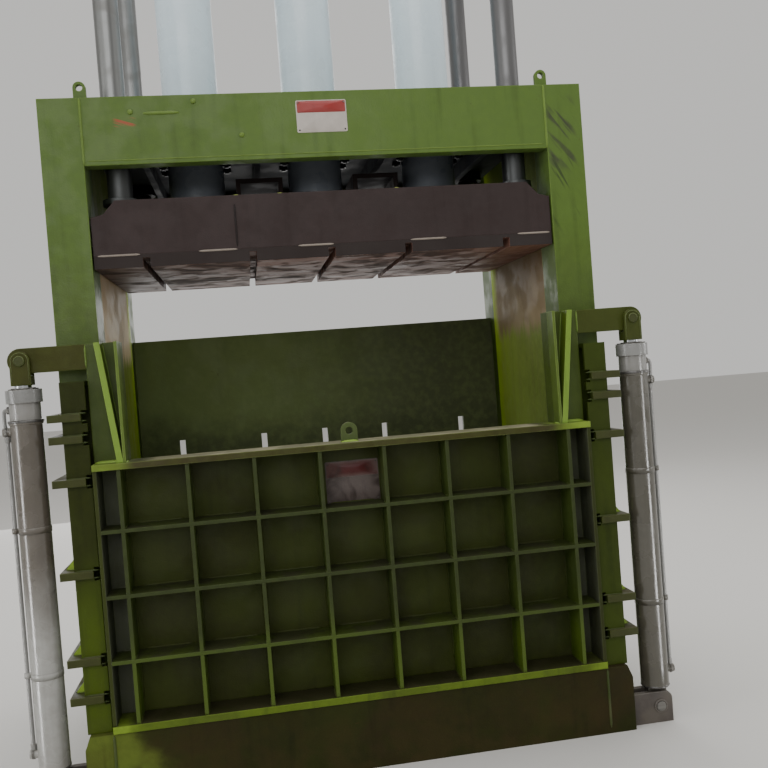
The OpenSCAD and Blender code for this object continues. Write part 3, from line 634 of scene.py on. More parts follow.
FINISHES: dict[Look, Paint | Steel] = {
    Look.FRAME: Paint(
        Slot.GREEN, rgb(80, 104, 36), rgb(72, 94, 31), rgb(116, 144, 56), dusting_and_shade=0.3,
        drifts=(Drift("Z", 1.6, 2.4, rgb(84, 108, 47), 0.8),
                Drift("X", 0.1, -0.7, rgb(73, 93, 38), 0.6),
                Drift("Z", 1.95, 1.6, rgb(68, 82, 32), 0.6),
                Smear((0.845, 2.10), (0.985, 2.43), rgb(54, 54, 44), 0.85, 30.0, 4.0, 0.8, 0.50),
                Smear((0.845, 1.86), (0.985, 2.22), rgb(38, 46, 26), 0.7, 44.0, 4.0, 0.5, 0.57),
                Smear((-0.75, 2.345), (-0.66, 2.385), rgb(150, 60, 40), 0.9, 40.0, 9.0, 3.0,
                      0.42))),
    # Painted shade: the deck's underside, its ribs and the base stringers are blue-grey as they
    # look in shade; the deck's top face is green.
    Look.UNDERSIDE_SHADE: Paint(
        Slot.GREEN, rgb(80, 83, 88), rgb(70, 73, 78), rgb(84, 88, 84), dusting_and_shade=0.15, roughness=0.6,
        shine=0.1, edge_wear_and_highlight=0.3,
        drifts=(Drift("Z", DECK_TOP - 0.004, DECK_TOP - 0.001, rgb(74, 92, 38), 1.0, 0.0),)),
    Look.LEFT_CHANNEL: CHANNEL,
    Look.RIGHT_CHANNEL: replace(
        CHANNEL, colour=rgb(54, 66, 16), shade=rgb(46, 56, 14),
        drifts=(Drift("Z", 0.7, 0.4, rgb(56, 70, 14), 0.7),)),
    # Painted shade: faces that look to the front take a darker tone.
    Look.SIDE_RIB: Paint(
        Slot.GREEN, rgb(60, 68, 24), rgb(48, 54, 20), rgb(84, 96, 36), edge_wear_and_highlight=0.4, dusting_and_shade=0.5,
        front=rgb(50, 54, 14),
        drifts=tuple(Drift("Z", foot, foot + 0.003, rgb(150, 182, 62), 0.95, 0.0,
                           fade=(foot + 0.05, foot + 0.06)) for foot in GUSSET_FEET)),
    Look.EAR: Paint(Slot.GREEN, rgb(66, 82, 24), rgb(58, 72, 21), rgb(96, 118, 40), edge_wear_and_highlight=0.4),
    # Painted light: faces that look to the front take a brighter tone.
    Look.EAR_RIB: Paint(
        Slot.EDGE, rgb(84, 104, 32), rgb(72, 90, 27), rgb(130, 154, 70), front=rgb(112, 142, 50),
        edge_wear_and_highlight=0.8, drifts=(Drift("X", 0.7868, 0.7858, rgb(78, 96, 34), 0.9, 0.0, True),)),
    Look.ARM: Paint(
        Slot.EDGE, rgb(66, 74, 28), rgb(56, 64, 24), rgb(104, 120, 58), edge_wear_and_highlight=0.5, dusting_and_shade=0.5,
        shine=0.14, drifts=(Drift("X", -0.1, -0.6, rgb(58, 59, 22), 0.9),)),
    # Painted shade: faces that look to the front are darker, and the dark colour on top of the ribs
    # is partly dirt and partly painted shade.
    Look.GRID: Paint(
        Slot.EDGE, rgb(60, 74, 28), rgb(48, 58, 22), rgb(88, 104, 44), front=rgb(44, 53, 17),
        dust_and_shade=rgb(44, 42, 22), edge_wear_and_highlight=0.45, edge_reach=0.003, dusting_and_shade=0.8,
        drifts=(Drift("Z", 0.62, 0.36, rgb(80, 102, 22), 0.6),)),
    Look.CELL: Paint(
        Slot.INNER, rgb(54, 62, 17), rgb(48, 55, 15), rgb(66, 80, 22), edge_wear_and_highlight=0.5,
        roughness=0.5, stain=rgb(42, 42, 16), stains=0.5, dusting_and_shade=0.3, shine=0.2,
        drifts=(Drift("X", 0.3, 0.9, rgb(40, 47, 14), 0.8),
                Drift("X", 0.800, 0.806, rgb(74, 77, 64), 0.9, 0.0, True,
                      (GRID_END + 0.001, GRID_END + 0.003)))),
    # Painted shade: the front face takes a darker tone.
    Look.LIP: Paint(
        Slot.DUSTY, rgb(70, 78, 26), rgb(58, 62, 24), rgb(118, 132, 70), dust_and_shade=rgb(150, 146, 118),
        dusting_and_shade=0.95, dust_within=0.70, roughness=0.65, front=rgb(56, 56, 18),
        stain=rgb(54, 48, 26), stains=0.5,
        drifts=(Drift("X", 0.73, 0.81, LIP_GREEN, 0.9, 0.05, True),)),
    # Painted light and shade: the front face takes a brighter tone, and the dark colour on top is
    # partly dirt and partly painted shade.
    Look.FOOT_LIP: Paint(
        Slot.DUSTY, rgb(40, 44, 18), rgb(34, 38, 16), rgb(112, 134, 44), dust_and_shade=rgb(52, 50, 28),
        dusting_and_shade=0.8, roughness=0.6, shine=0.15, front=rgb(90, 110, 32), stain=rgb(50, 50, 22),
        stains=0.3, drifts=(Drift("X", 0.80, 0.86, LIP_GREEN, 0.8, 0.03, True),)),
    Look.EYE: Paint(Slot.EDGE, rgb(72, 86, 42), rgb(60, 72, 34), rgb(104, 120, 62)),
    Look.BACK_WALL: Paint(
        Slot.INNER, rgb(108, 122, 72), rgb(102, 115, 68), rgb(120, 136, 76), roughness=0.5,
        streaks=0.12, dusting_and_shade=0.2, shine=0.15,
        drifts=(Drift("X", -0.4, 0.6, rgb(74, 79, 54), 0.95),
                Drift("Z", 1.3, 1.1, rgb(60, 66, 42), 0.8))),
    # The left wall's band is paler than the right's; like it, partly a painted reflection.
    Look.LEFT_WALL: replace(SIDE_WALL, bare_and_reflection=rgb(236, 216, 180), burnt_and_reflection=rgb(176, 150, 116)),
    Look.RIGHT_WALL: SIDE_WALL,
    Look.BASE: Paint(
        Slot.STAINED, rgb(42, 46, 10), rgb(34, 36, 9), rgb(62, 68, 22), dust_and_shade=rgb(58, 48, 26),
        streaks=0.5, foot_dirt=0.5, edge_wear_and_highlight=0.35, roughness=0.6, stain=rgb(44, 36, 16),
        stains=0.7, shine=0.15, drifts=(Drift("X", -0.74, -0.88, rgb(91, 105, 38), 0.95, 0.2),)),
    Look.FRAME_WELD_AND_HIGHLIGHT: Paint(
        Slot.EDGE, rgb(104, 130, 52), rgb(88, 110, 44), rgb(140, 164, 80), edge_wear_and_highlight=0.3,
        chips_and_glints=0.1, streaks=0.1, roughness=0.35),
    Look.BRIGHT_WELD: Paint(
        Slot.EDGE, rgb(138, 168, 66), rgb(122, 150, 56), rgb(170, 196, 100), edge_wear_and_highlight=0.3,
        chips_and_glints=0.05, streaks=0.05, dusting_and_shade=0.1, roughness=0.32),
    # Painted highlight: pale colour of the thin arches on the clevises.
    Look.ARCH_HIGHLIGHT: Paint(
        Slot.EDGE, rgb(128, 140, 92), rgb(112, 124, 78), rgb(150, 160, 112), edge_wear_and_highlight=0.2,
        chips_and_glints=0.0, streaks=0.0),
    Look.GRID_WELD: Paint(
        Slot.EDGE, rgb(62, 76, 30), rgb(50, 62, 24), rgb(84, 100, 44), edge_wear_and_highlight=0.3, chips_and_glints=0.1,
        roughness=0.4),
    Look.PLATEN: Paint(
        Slot.BROWN, rgb(58, 48, 47), rgb(54, 45, 44), rgb(74, 62, 57), dust_and_shade=rgb(72, 62, 54),
        rust_and_glint=rgb(66, 46, 32), edge_wear_and_highlight=0.35, roughness=0.6, streaks=0.3, shine=0.15),
    Look.PLATEN_WELD: Paint(
        Slot.BROWN, rgb(38, 30, 29), rgb(30, 25, 24), rgb(56, 47, 42), dust_and_shade=rgb(72, 62, 54),
        edge_wear_and_highlight=0.3, roughness=0.5, shine=0.2),
    Look.LIP_WELD: Paint(
        Slot.WORN, rgb(150, 139, 128), rgb(112, 102, 94), rgb(176, 166, 154), rust_and_glint=rgb(96, 66, 46),
        streaks=0.1, chips_and_glints=0.4, roughness=0.4),
    Look.TAG: Paint(
        Slot.EDGE, rgb(186, 198, 96), rgb(160, 176, 80), rgb(200, 210, 120), chips_and_glints=0.1,
        streaks=0.1),
    Look.BARREL: Paint(
        Slot.PALE, rgb(214, 230, 238), rgb(198, 216, 226), rgb(226, 236, 240),
        dust_and_shade=rgb(176, 178, 176), rust_and_glint=rgb(140, 120, 100), streaks=0.08, chips_and_glints=0.06, roughness=0.32,
        coat=0.2, shine=0.5, mottle=0.03,
        # Painted shade: the barrels darken below Z 2.32, under the deck.
        drifts=(Drift("Z", 2.36, 2.32, rgb(124, 130, 140), 0.95, 0.01),)),
    Look.LEFT_LIFT: replace(
        LIFT, drifts=(NECK, Drift("Z", 0.95, 0.45, rgb(164, 164, 160), 0.9, 0.2))),
    Look.RIGHT_LIFT: replace(LIFT, colour=rgb(78, 75, 65), shade=rgb(71, 68, 59), drifts=(NECK,)),
    Look.LIFT_HEAD: replace(LIFT, colour=rgb(132, 132, 130), shade=rgb(116, 116, 114)),
    # Painted glints: the chipped spots are near-white and cover most of the weld rings.
    Look.LIFT_WELD: replace(
        LIFT, colour=rgb(70, 68, 66), shade=rgb(54, 52, 50), rust_and_glint=rgb(214, 214, 214), chips_and_glints=0.9),
    Look.BRACKET: replace(
        LIFT, colour=rgb(75, 67, 62), shade=rgb(63, 57, 53), roughness=0.5, coat=0.0, dusting_and_shade=0.6),
    Look.PIN: Paint(
        Slot.MACHINED, rgb(62, 68, 26), rgb(54, 60, 22), rgb(96, 110, 54), edge_wear_and_highlight=0.4),
    Look.SIGN: SIGN,
    Look.SIGN_BAND: replace(
        SIGN, colour=rgb(150, 52, 48), shade=rgb(132, 44, 42), edge=rgb(170, 90, 84)),
    Look.DIRTY_SIGN: replace(
        DIRTY, colour=rgb(104, 94, 90), shade=rgb(84, 74, 72), stain=rgb(50, 40, 36)),
    Look.DIRTY_BAND: replace(
        DIRTY, colour=rgb(92, 36, 36), shade=rgb(74, 30, 30), stain=rgb(44, 28, 26)),
    Look.FLOOR: Steel(
        Slot.WORN, rgb(120, 108, 96), rgb(64, 50, 40), 0.5, (6.0, 60.0, 6.0), 0.8, 5.0, 0.6),
    Look.PRESS: Steel(
        Slot.WORN, rgb(144, 98, 82), rgb(60, 38, 30), 0.5, (5.0, 16.0, 5.0), 0.9, 9.0, 0.2,
        # Painted shade: faces that look to the front take a darker tone; edges take a painted
        # highlight.
        edge_highlight=0.2, front=rgb(44, 36, 34),
        # The plate is darker towards -X, and lighter towards +X, painted light where it stands in
        # shade.
        drifts=(Drift("X", -0.3, -0.85, rgb(60, 43, 36), 0.65),
                Drift("X", 0.3, 0.8, rgb(164, 116, 98), 0.45))),
    Look.COLUMN: Steel(
        Slot.COLUMN, rgb(138, 139, 138), rgb(92, 88, 82), 0.36, (60.0, 60.0, 1.2), 0.3,
        drifts=(Drift("X", 0.2, 0.8, rgb(104, 103, 104), 0.85),
                # Painted shade: the columns darken below Z 2.32, under the deck.
                Drift("Z", 2.36, 2.32, rgb(62, 64, 64), 0.9, 0.01))),
    Look.TURNED: Steel(
        Slot.MACHINED, rgb(124, 122, 118), rgb(70, 64, 56), 0.4, (4.0, 4.0, 220.0), 0.45,
        # Painted shade: turned parts between Z 2.0 and the deck's top, under the deck, are
        # darkened.
        drifts=(Drift("Z", DECK_TOP, DECK_TOP - 0.01, rgb(56, 58, 60), 0.95, 0.0,
                      fade=(2.04, 2.0)),)),
    Look.CHROME: Steel(
        Slot.CHROME, rgb(196, 198, 202), rgb(150, 148, 144), 0.12, (90.0, 90.0, 2.0), 0.12,
        metallic=1.0, edge_highlight=0.1),
}

NODE_LOOKS: dict[Look, tuple[str, ...]] = {
    Look.FRAME: ("front_top_beam", "rear_top_beam", "left_front_post", "right_front_post",
                 "left_rear_post", "right_rear_post", "lifting_lugs", "back_wall_ribs",
                 "base_rear_beam", "base_side_beams"),
    Look.UNDERSIDE_SHADE: ("cylinder_deck", "deck_ribs", "base_stringers"),
    Look.LEFT_CHANNEL: ("left_gate_keepers",),
    Look.RIGHT_CHANNEL: ("right_gate_keepers",),
    Look.SIDE_RIB: ("left_side_ribs", "right_side_ribs"),
    Look.EAR: ("left_ear", "right_ear"),
    Look.EAR_RIB: ("ear_bars",),
    Look.ARM: ("lift_arms", "lift_clevises"),
    Look.GRID: ("gate_uprights", "gate_cross_ribs"),
    Look.CELL: ("gate_skin",),
    Look.LIP: ("gate_top_plate",),
    Look.FOOT_LIP: ("gate_foot_plate",),
    Look.EYE: ("gate_eye",),
    Look.BACK_WALL: ("back_wall",),
    Look.LEFT_WALL: ("left_side_wall",),
    Look.RIGHT_WALL: ("right_side_wall",),
    Look.BASE: ("base_front_beam",),
    Look.PLATEN: ("platen_box", "platen_ribs", "platen_stiffeners"),
    Look.BARREL: ("left_main_barrel", "centre_main_barrel", "right_main_barrel", "barrel_flanges"),
    Look.LEFT_LIFT: ("left_lift_barrel",),
    Look.RIGHT_LIFT: ("right_lift_barrel",),
    Look.LIFT_HEAD: ("lift_heads", "lift_pipes"),
    Look.BRACKET: ("lift_brackets",),
    Look.FLOOR: ("chamber_floor", "floor_wear_bars"),
    Look.PRESS: ("pressing_plate",),
    Look.COLUMN: ("front_guide_columns", "rear_guide_columns"),
    Look.PIN: ("clevis_pins",),
    Look.TURNED: ("main_glands", "flange_bolts", "guide_bushes", "foot_pins", "rod_flange_bolts"),
    Look.CHROME: ("left_main_rod", "centre_main_rod", "right_main_rod", "left_lift_rod",
                  "right_lift_rod"),
}


@cache
def material(look: Look) -> bpy.types.Material:
    """Makes the material of a look, the first time that it is asked for."""
    return FINISHES[look].build(look.value)


def dress_nodes() -> None:
    """Gives every node of the frame its finish."""
    for look, nodes in NODE_LOOKS.items():
        for node in nodes:
            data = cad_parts[node].data
            data.materials.clear()
            data.materials.append(material(look))


# Surfaces

RIPPLE = 0.16
RIPPLE_PITCH = 0.008
BEAD_SIDES = 8


def circle(first: np.ndarray, second: np.ndarray, sides: int) -> np.ndarray:
    """Gives sides points round an ellipse about the origin, as cos * first + sin * second."""
    turn = np.linspace(0.0, 2 * np.pi, sides, endpoint=False)[:, None]
    return np.cos(turn) * first[..., None, :] + np.sin(turn) * second[..., None, :]


def square_to(axis: np.ndarray) -> tuple[np.ndarray, np.ndarray]:
    """Gives two directions square to one of the axes and to each other."""
    first = np.cross(axis, Y if axis[1] == 0.0 else X)
    return first, np.cross(axis, first)


def grid_quads(rows: int, columns: int, ring: bool, start: int) -> np.ndarray:
    """Numbers the quads of a grid of points that is closed round its columns.

    Args:
        rows: Points along the first parameter.
        columns: Points along the second parameter.
        ring: True if the last row joins the first.
        start: Number of the first point.

    Returns:
        An array with four point numbers a quad.
    """
    row = np.arange(rows if ring else rows - 1)[:, None]
    column = np.arange(columns)[None, :]
    next_row, next_column = (row + 1) % rows, (column + 1) % columns
    quads = np.stack([row * columns + column, next_row * columns + column,
                      next_row * columns + next_column, row * columns + next_column], axis=-1)
    return quads.reshape(-1, 4) + start


@dataclass
class Surface:
    """Grids of points gathered from several shapes, turned into one piece at the end."""

    name: str
    look: Look
    body: Body = Body.FRAME
    smooth: bool = True
    grids: list[tuple[np.ndarray, bool]] = field(default_factory=list)

    def add(self, grid: np.ndarray, ring: bool = False) -> None:
        """Adds a grid of shape (rows, columns, 3), whose last row joins the first in a ring."""
        self.grids.append((grid, ring))

    def mirror(self) -> None:
        """Adds the mirror image in X of all that is there."""
        self.grids += [(grid * MIRROR, ring) for grid, ring in self.grids]

    def bead(self, x: Span, y: Span, z: Span, across: np.ndarray, out: np.ndarray, radius: float,
             stitch: Pair | None = None, pitch: float = RIPPLE_PITCH, flat: float = 0.75) -> None:
        """Adds a straight weld bead, or a row of short ones.

        The section is an ellipse, radius wide across the joint and flat times as high. Its size
        swells and shrinks as 1 + RIPPLE |sin| of the way along over the pitch, and falls to
        nothing over the last two ripples at each end.

        Args:
            x: X all along the joint, or at its two ends.
            y: Y in the same way.
            z: Z in the same way.
            across: Direction across the joint.
            out: Direction out of the plates.
            radius: Half the width of a bead.
            stitch: Length of a short bead and of the gap after it, or None for one long bead.
            pitch: Length of one ripple.
            flat: Height of a bead as a share of its radius.
        """
        foot, head = np.stack([np.broadcast_to(span, 2) for span in (x, y, z)], axis=1)
        whole = float(np.linalg.norm(head - foot))
        one, gap = stitch or (whole, 0.0)
        count = max(1, int((whole + gap) / (one + gap)))
        share = min(1.0, one * count / whole) / count
        for first in np.linspace(0.0, 1.0 - share, count):
            start = foot + first * (head - foot)
            end = foot + (first + share) * (head - foot) if stitch else head
            length = float(np.linalg.norm(end - start))
            way = np.linspace(0.0, 1.0, max(6, int(2 * length / pitch) + 1))[:, None]
            swell = 1.0 + RIPPLE * np.abs(np.sin(np.pi * way * length / pitch))
            ends = np.clip(np.minimum(way, 1.0 - way) * length / (2 * pitch), 0.0, 1.0)
            size = (radius * swell * np.sqrt(ends))[..., None]
            section = size * circle(across, flat * out, BEAD_SIDES)
            self.add((start + way * (end - start))[:, None, :] + section)

    def finish(self) -> None:
        """Makes the mesh object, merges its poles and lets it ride."""
        points = np.concatenate([grid.reshape(-1, 3) for grid, _ in self.grids]).astype(np.float32)
        starts = np.cumsum([0] + [grid.size // 3 for grid, _ in self.grids])
        quads = np.concatenate([grid_quads(*grid.shape[:2], ring, start) for (grid, ring), start
                                in zip(self.grids, starts)]).astype(np.int32)
        mesh = bpy.data.meshes.new(self.name)
        mesh.vertices.add(len(points))
        mesh.vertices.foreach_set("co", points.ravel())
        mesh.loops.add(quads.size)
        mesh.loops.foreach_set("vertex_index", quads.ravel())
        mesh.polygons.add(len(quads))
        mesh.polygons.foreach_set("loop_start", np.arange(0, quads.size, 4, dtype=np.int32))
        mesh.update(calc_edges=True)
        work = bmesh.new()
        work.from_mesh(mesh)
        bmesh.ops.remove_doubles(work, verts=work.verts, dist=1e-6)
        bmesh.ops.recalc_face_normals(work, faces=work.faces)
        work.to_mesh(mesh)
        work.free()
        mesh.polygons.foreach_set("use_smooth", np.full(len(mesh.polygons), self.smooth))
        mesh.materials.append(material(self.look))
        piece = shown(self.name, mesh)
        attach(piece, self.body.value)
        LOG.info("%s: %d points", self.name, len(points))


def round_bead(centre: np.ndarray, ring_radius: float, radius: float) -> np.ndarray:
    """Works out a weld bead round an upright pipe.

    It is a ring whose section swells as 1 + RIPPLE |sin| of the way round over the pitch.

    Args:
        centre: Middle of the ring.
        ring_radius: Radius of the ring.
        radius: Half the width of the bead.

    Returns:
        Points of shape (steps, sides, 3), with the last row next to the first.
    """
    steps = int(4 * np.pi * ring_radius / RIPPLE_PITCH)
    outward = circle(*square_to(Z), steps)
    size = radius * (1.0 + RIPPLE * np.abs(np.sin(np.pi * np.arange(steps) / 2.0)))
    section = size[:, None, None] * circle(outward, Z, BEAD_SIDES)
    return centre + ring_radius * outward[:, None, :] + section


def plate_grid(centre: np.ndarray, width: float, height: float, thickness: float,
               corner: float, steps: int = 6) -> np.ndarray:
    """Works out a plate with round corners and a soft edge, facing -Y, as rings round its middle.

    Each ring is a rounded rectangle: quarter circles of the corner radius round four centres.
    The rings run from a point in the middle of the face to the rim, down the edge and back
    to a point in the middle of the back.

    Args:
        centre: Middle of the plate's back.
        width: Size along X.
        height: Size along Z.
        thickness: Size along Y.
        corner: Radius of the corners.
        steps: Points in each quarter circle.

    Returns:
        Points of shape (rings, columns, 3).
    """
    turn = (np.linspace(0.0, np.pi / 2, steps) + np.arange(4)[:, None] * np.pi / 2).ravel()
    signs = np.repeat(np.array([[1, 1], [-1, 1], [-1, -1], [1, -1]]), steps, axis=0)
    size = np.array([width, height])
    rim = signs * (size / 2 - corner) + corner * np.stack([np.cos(turn), np.sin(turn)], axis=1)
    soft = min(thickness, corner) * 0.4
    shrink = np.array([0.0, 1.0, 1.0, 1.0, 1.0, 0.0])[:, None, None]
    inset = np.array([0.0, soft, 0.3 * soft, 0.0, 0.0, 0.0])[:, None, None]
    level = np.array([thickness, thickness, thickness - 0.3 * soft, thickness - soft, 0.0, 0.0])
    return centre + rim * shrink * (1 - 2 * inset / size) @ np.stack([X, Z]) \
        - level[:, None, None] * Y


def tube(path: np.ndarray, radius: float, sides: int) -> np.ndarray:
    """Works out a round tube along a smooth path.

    Each ring stands square to the path. Its first direction is the last ring's, with the part
    along the path taken away, so that the tube doesn't twist.

    Args:
        path: Points of shape (steps, 3).
        radius: Radius of the tube.
        sides: Points round the tube.

    Returns:
        Points of shape (steps + 2, sides, 3), closed to a point at both ends.
    """
    along = np.gradient(path, axis=0)
    along /= np.linalg.norm(along, axis=1, keepdims=True)
    first = np.cross(along[0], Z if abs(along[0][2]) < 0.9 else X)
    firsts = []
    for direction in along:
        first = first - direction * np.dot(first, direction)
        first = first / np.linalg.norm(first)
        firsts.append(first)
    rings = circle(np.array(firsts), np.cross(along, firsts), sides)
    caps = np.repeat(path[[0, -1], None, :], sides, axis=1)
    return np.concatenate([caps[:1], path[:, None, :] + radius * rings, caps[1:]])


def smooth_path(knots: np.ndarray, steps: int = 8) -> np.ndarray:
    """Runs a smooth curve through knots.

    Between two knots the curve is the cubic that meets both with the slopes between their
    neighbours.

    Args:
        knots: Points of shape (n, 3).
        steps: Points in each stretch.

    Returns:
        Points along the curve.
    """
    slopes = np.gradient(knots, axis=0)
    way = np.linspace(0.0, 1.0, steps, endpoint=False)[None, :, None]
    start, end = knots[:-1, None, :], knots[1:, None, :]
    leave, arrive = slopes[:-1, None, :], slopes[1:, None, :]
    curve = ((2 * way ** 3 - 3 * way ** 2 + 1) * start + (way ** 3 - 2 * way ** 2 + way) * leave
             + (3 * way ** 2 - 2 * way ** 3) * end + (way ** 3 - way ** 2) * arrive)
    return np.concatenate([curve.reshape(-1, 3), knots[-1:]])


def lathe(centre: np.ndarray, axis: np.ndarray, profile: Sequence[Pair],
          sides: int = 32) -> np.ndarray:
    """Turns a profile of (radius, height) round an axis, from height 0 at the centre."""
    radii, heights = np.array(profile, float).T[..., None, None]
    return centre + radii * circle(*square_to(axis), sides) + heights * axis


def collar(centre: np.ndarray, axis: np.ndarray, inner: float, outer: float,
           height: float) -> np.ndarray:
    """Works out a flat ring with a soft outer edge, whose foot is round the centre."""
    soft = 0.3 * min(height, outer - inner)
    return lathe(centre, axis, [(inner, 0.0), (outer, 0.0), (outer, height - soft),
                                (outer - 0.3 * soft, height - 0.3 * soft), (outer - soft, height),
                                (inner, height)])


def screw_head(centre: np.ndarray, axis: np.ndarray, radius: float, height: float) -> np.ndarray:
    """Works out a hexagon head with a chamfered top, of that radius over its corners."""
    return lathe(centre, axis, [(0.0, 0.0), (radius, 0.0), (radius, 0.85 * height),
                                (0.86 * radius, height), (0.0, height)], sides=6)


def nub(centre: np.ndarray, radius: float, height: float) -> np.ndarray:
    """Works out a low round nub towards -Y, a quarter of an ellipse turned round its axis."""
    turn = np.linspace(0.0, np.pi / 2, 6)
    return lathe(centre, -Y, [(0.0, 0.0), *zip(radius * np.cos(turn), height * np.sin(turn))], 14)


def between_axes(centre: np.ndarray, radius: float) -> np.ndarray:
    """Gives the four places halfway between X and Y on a level circle."""
    return centre + circle(radius * X, radius * Y, 8)[1::2]


# The machine


@dataclass
class Sign:
    """A plain sign plate with a band of colour along its top, held by four rivets."""

    name: str
    centre: np.ndarray
    width: float
    height: float
    body: Body
    plate_look: Look
    band_look: Look
    thickness: float = 0.0015
    corner: float = 0.006
    band_share: float = 0.36
    band_thickness: float = 0.0004
    band_corner: float = 0.004
    band_margin: Pair = (0.004, 0.003)
    rivet_inset: float = 0.009
    rivet: Pair = (0.0032, 0.002)

    def build(self) -> None:
        """Adds the plate, its band and its rivets."""
        plate = Surface(self.name + "_plate", self.plate_look, self.body)
        plate.add(plate_grid(self.centre, self.width, self.height, self.thickness, self.corner))
        plate.finish()
        face = self.centre - self.thickness * Y
        side_margin, top_margin = self.band_margin
        rise = self.height * (0.5 - self.band_share / 2) - top_margin
        band = Surface(self.name + "_band", self.band_look, self.body)
        band.add(plate_grid(face + rise * Z, self.width - 2 * side_margin,
                            self.height * self.band_share, self.band_thickness, self.band_corner))
        band.finish()
        rivets = Surface(self.name + "_rivets", Look.TURNED, self.body)
        for side, level in product(SIDES, SIDES):
            rivets.add(nub(face + side * (self.width / 2 - self.rivet_inset) * X
                           + level * (self.height / 2 - self.rivet_inset) * Z, *self.rivet))
        rivets.finish()


@dataclass
class MainFrame:
    """Posts, beams, walls and base, with the weld seams, nubs and sign on them."""

    seam: float = 0.0045
    foot_seam: float = 0.00585
    lug_seam: float = 0.00405
    rib_seam: float = 0.0036
    gusset_seam: float = 0.00315
    gusset_foot_seam: float = 0.0027
    # Height and radius of a painted highlight along the front beam's lower edge, drawn as a thin
    # bead.
    lower_edge_highlight: Pair = (0.016, 0.0022)
    lower_edge_highlight_end: float = 0.01
    lug_middle: float = 0.022
    lug_half: float = 0.021
    lug_plate: float = 0.02
    rib_heights: tuple[float, ...] = (0.366, 0.497, 0.795, 1.112, 1.260, 1.335)
    rib_half: float = 0.013
    rib_end: float = 0.004
    gate_gap: float = 0.006
    rib_post_stitch: Pair = (0.05, 0.04)
    rib_wall_stitch: Pair = (0.06, 0.10)
    post_depth: float = 0.150
    post_stitch: Pair = (0.12, 0.18)
    post_ends: Pair = (0.02, 0.05)
    wall_out: float = 0.875
    base_seam_x: float = 0.890
    base_ends: Pair = (0.02, 0.004)
    back_reach: float = 0.84
    back_ribs: Pair = (0.1445, 0.4785)
    back_rib_half: float = 0.010
    back_rib_ends: Pair = (0.02, 0.03)
    back_stitch: Pair = (0.06, 0.12)
    sill_stitch: Pair = (0.08, 0.10)
    gusset_half: float = 0.007
    gusset_rise: float = 0.042
    gusset_reach: Pair = (0.002, 0.038)
    gusset_drop: float = 0.001
    nubs: tuple[Pair, ...] = ((-0.683, 2.400), (-0.460, 2.432), (-0.296, 2.305))
    nub_size: Pair = (0.010, 0.007)
    bar_x: Pair = (-0.642, -0.509)
    bar_z: float = 2.394
    bar: float = 0.006
    bar_pitch: float = 0.012
    sign_size: Pair = (0.186, 0.118)
    sign_z: float = 2.364

    def beam_seams(self) -> None:
        """Welds the beams to the posts, the posts to the base and the lugs to the top.

        A thin bright bead along the front beam's lower edge is a painted highlight.
        """
        seams = Surface("frame_seams_and_highlight", Look.FRAME_WELD_AND_HIGHLIGHT)
        low, high = corners("front_top_beam")
        post_low, post_high = corners("right_front_post")
        rear_front = corners("right_rear_post")[0][1]
        seams.bead(high[0], low[1], (low[2], high[2]), X, -Y, self.seam)
        seams.bead((post_low[0], post_high[0]), post_low[1], post_low[2], -Y, Z, self.foot_seam)
        for front in (post_low[1], rear_front):
            seams.bead(post_high[0], (front, front + post_high[1] - post_low[1]), post_low[2], Z, X,
                       self.seam)
        foot, head = self.post_ends
        for level in (post_high[1], rear_front):
            seams.bead(self.wall_out, level, (post_low[2] + foot, post_high[2] - head), Y, X,
                       self.seam, self.post_stitch)
        seams.mirror()
        # Painted highlight: a thin bright bead along the front beam's lower flange edge.
        edge, radius = self.lower_edge_highlight
        seams.bead((low[0] + self.lower_edge_highlight_end, high[0] - self.lower_edge_highlight_end), low[1],
                   low[2] + edge, Z, -Y, radius)
        low, high = corners("lifting_lugs")
        lug_faces = (low[1], low[1] + self.lug_plate, high[1] - self.lug_plate, high[1])
        for side, y in product(SIDES, lug_faces):
            x = side * (high[0] - self.lug_middle)
            seams.bead((x - self.lug_half, x + self.lug_half), y, low[2], Y, Z, self.lug_seam)
        seams.finish()

    def base_seams(self) -> None:
        """Adds the upright seams on the front base beam, and the rows along the back wall."""
        seams = Surface("base_seams", Look.GRID_WELD)
        low, high = corners("base_front_beam")
        sill = corners("base_rear_beam")[1][2]
        wall = corners("back_wall")[1][1]
        rib_top = corners("back_wall_ribs")[1][2]
        foot, head = self.base_ends
        seams.bead(self.base_seam_x, low[1], (foot, high[2] - head), X, -Y, self.seam)
        foot, head = self.back_rib_ends
        for rib, side in product(self.back_ribs, SIDES):
            seams.bead(rib + side * self.back_rib_half, wall, (sill + foot, rib_top - head), X, Y,
                       self.rib_seam, self.back_stitch)
        seams.mirror()
        seams.bead((-self.back_reach, self.back_reach), wall, sill, Y, Z, self.seam,
                   self.sill_stitch)
        seams.finish()

    def rib_seams(self) -> None:
        """Welds each side rib to the guide channel, the posts and the wall, above and below."""
        seams = Surface("rib_seams", Look.GRID_WELD)
        channel_low, channel_high = corners("right_gate_keepers")
        post_low, post_high = corners("right_front_post")
        rear_front = corners("right_rear_post")[0][1]
        inner_end = max(corners("right_side_ribs")[0][0] + self.rib_end,
                        corners("gate_foot_plate")[1][0] + self.gate_gap)
        radius = self.rib_seam
        for height, up in product(self.rib_heights, (-Z, Z)):
            level = height + self.rib_half * up[2]
            seams.bead((inner_end, channel_high[0]), channel_low[1], level, -Y, up, radius)
            seams.bead(channel_high[0], (channel_low[1], post_low[1]), level, X, up, radius)
            for front in (post_low[1], rear_front):
                seams.bead(post_high[0], (front, front + self.post_depth), level, X, up, radius,
                           self.rib_post_stitch)
            seams.bead(self.wall_out, (post_high[1], rear_front), level, X, up, radius,
                       self.rib_wall_stitch)
        seams.mirror()
        seams.finish()

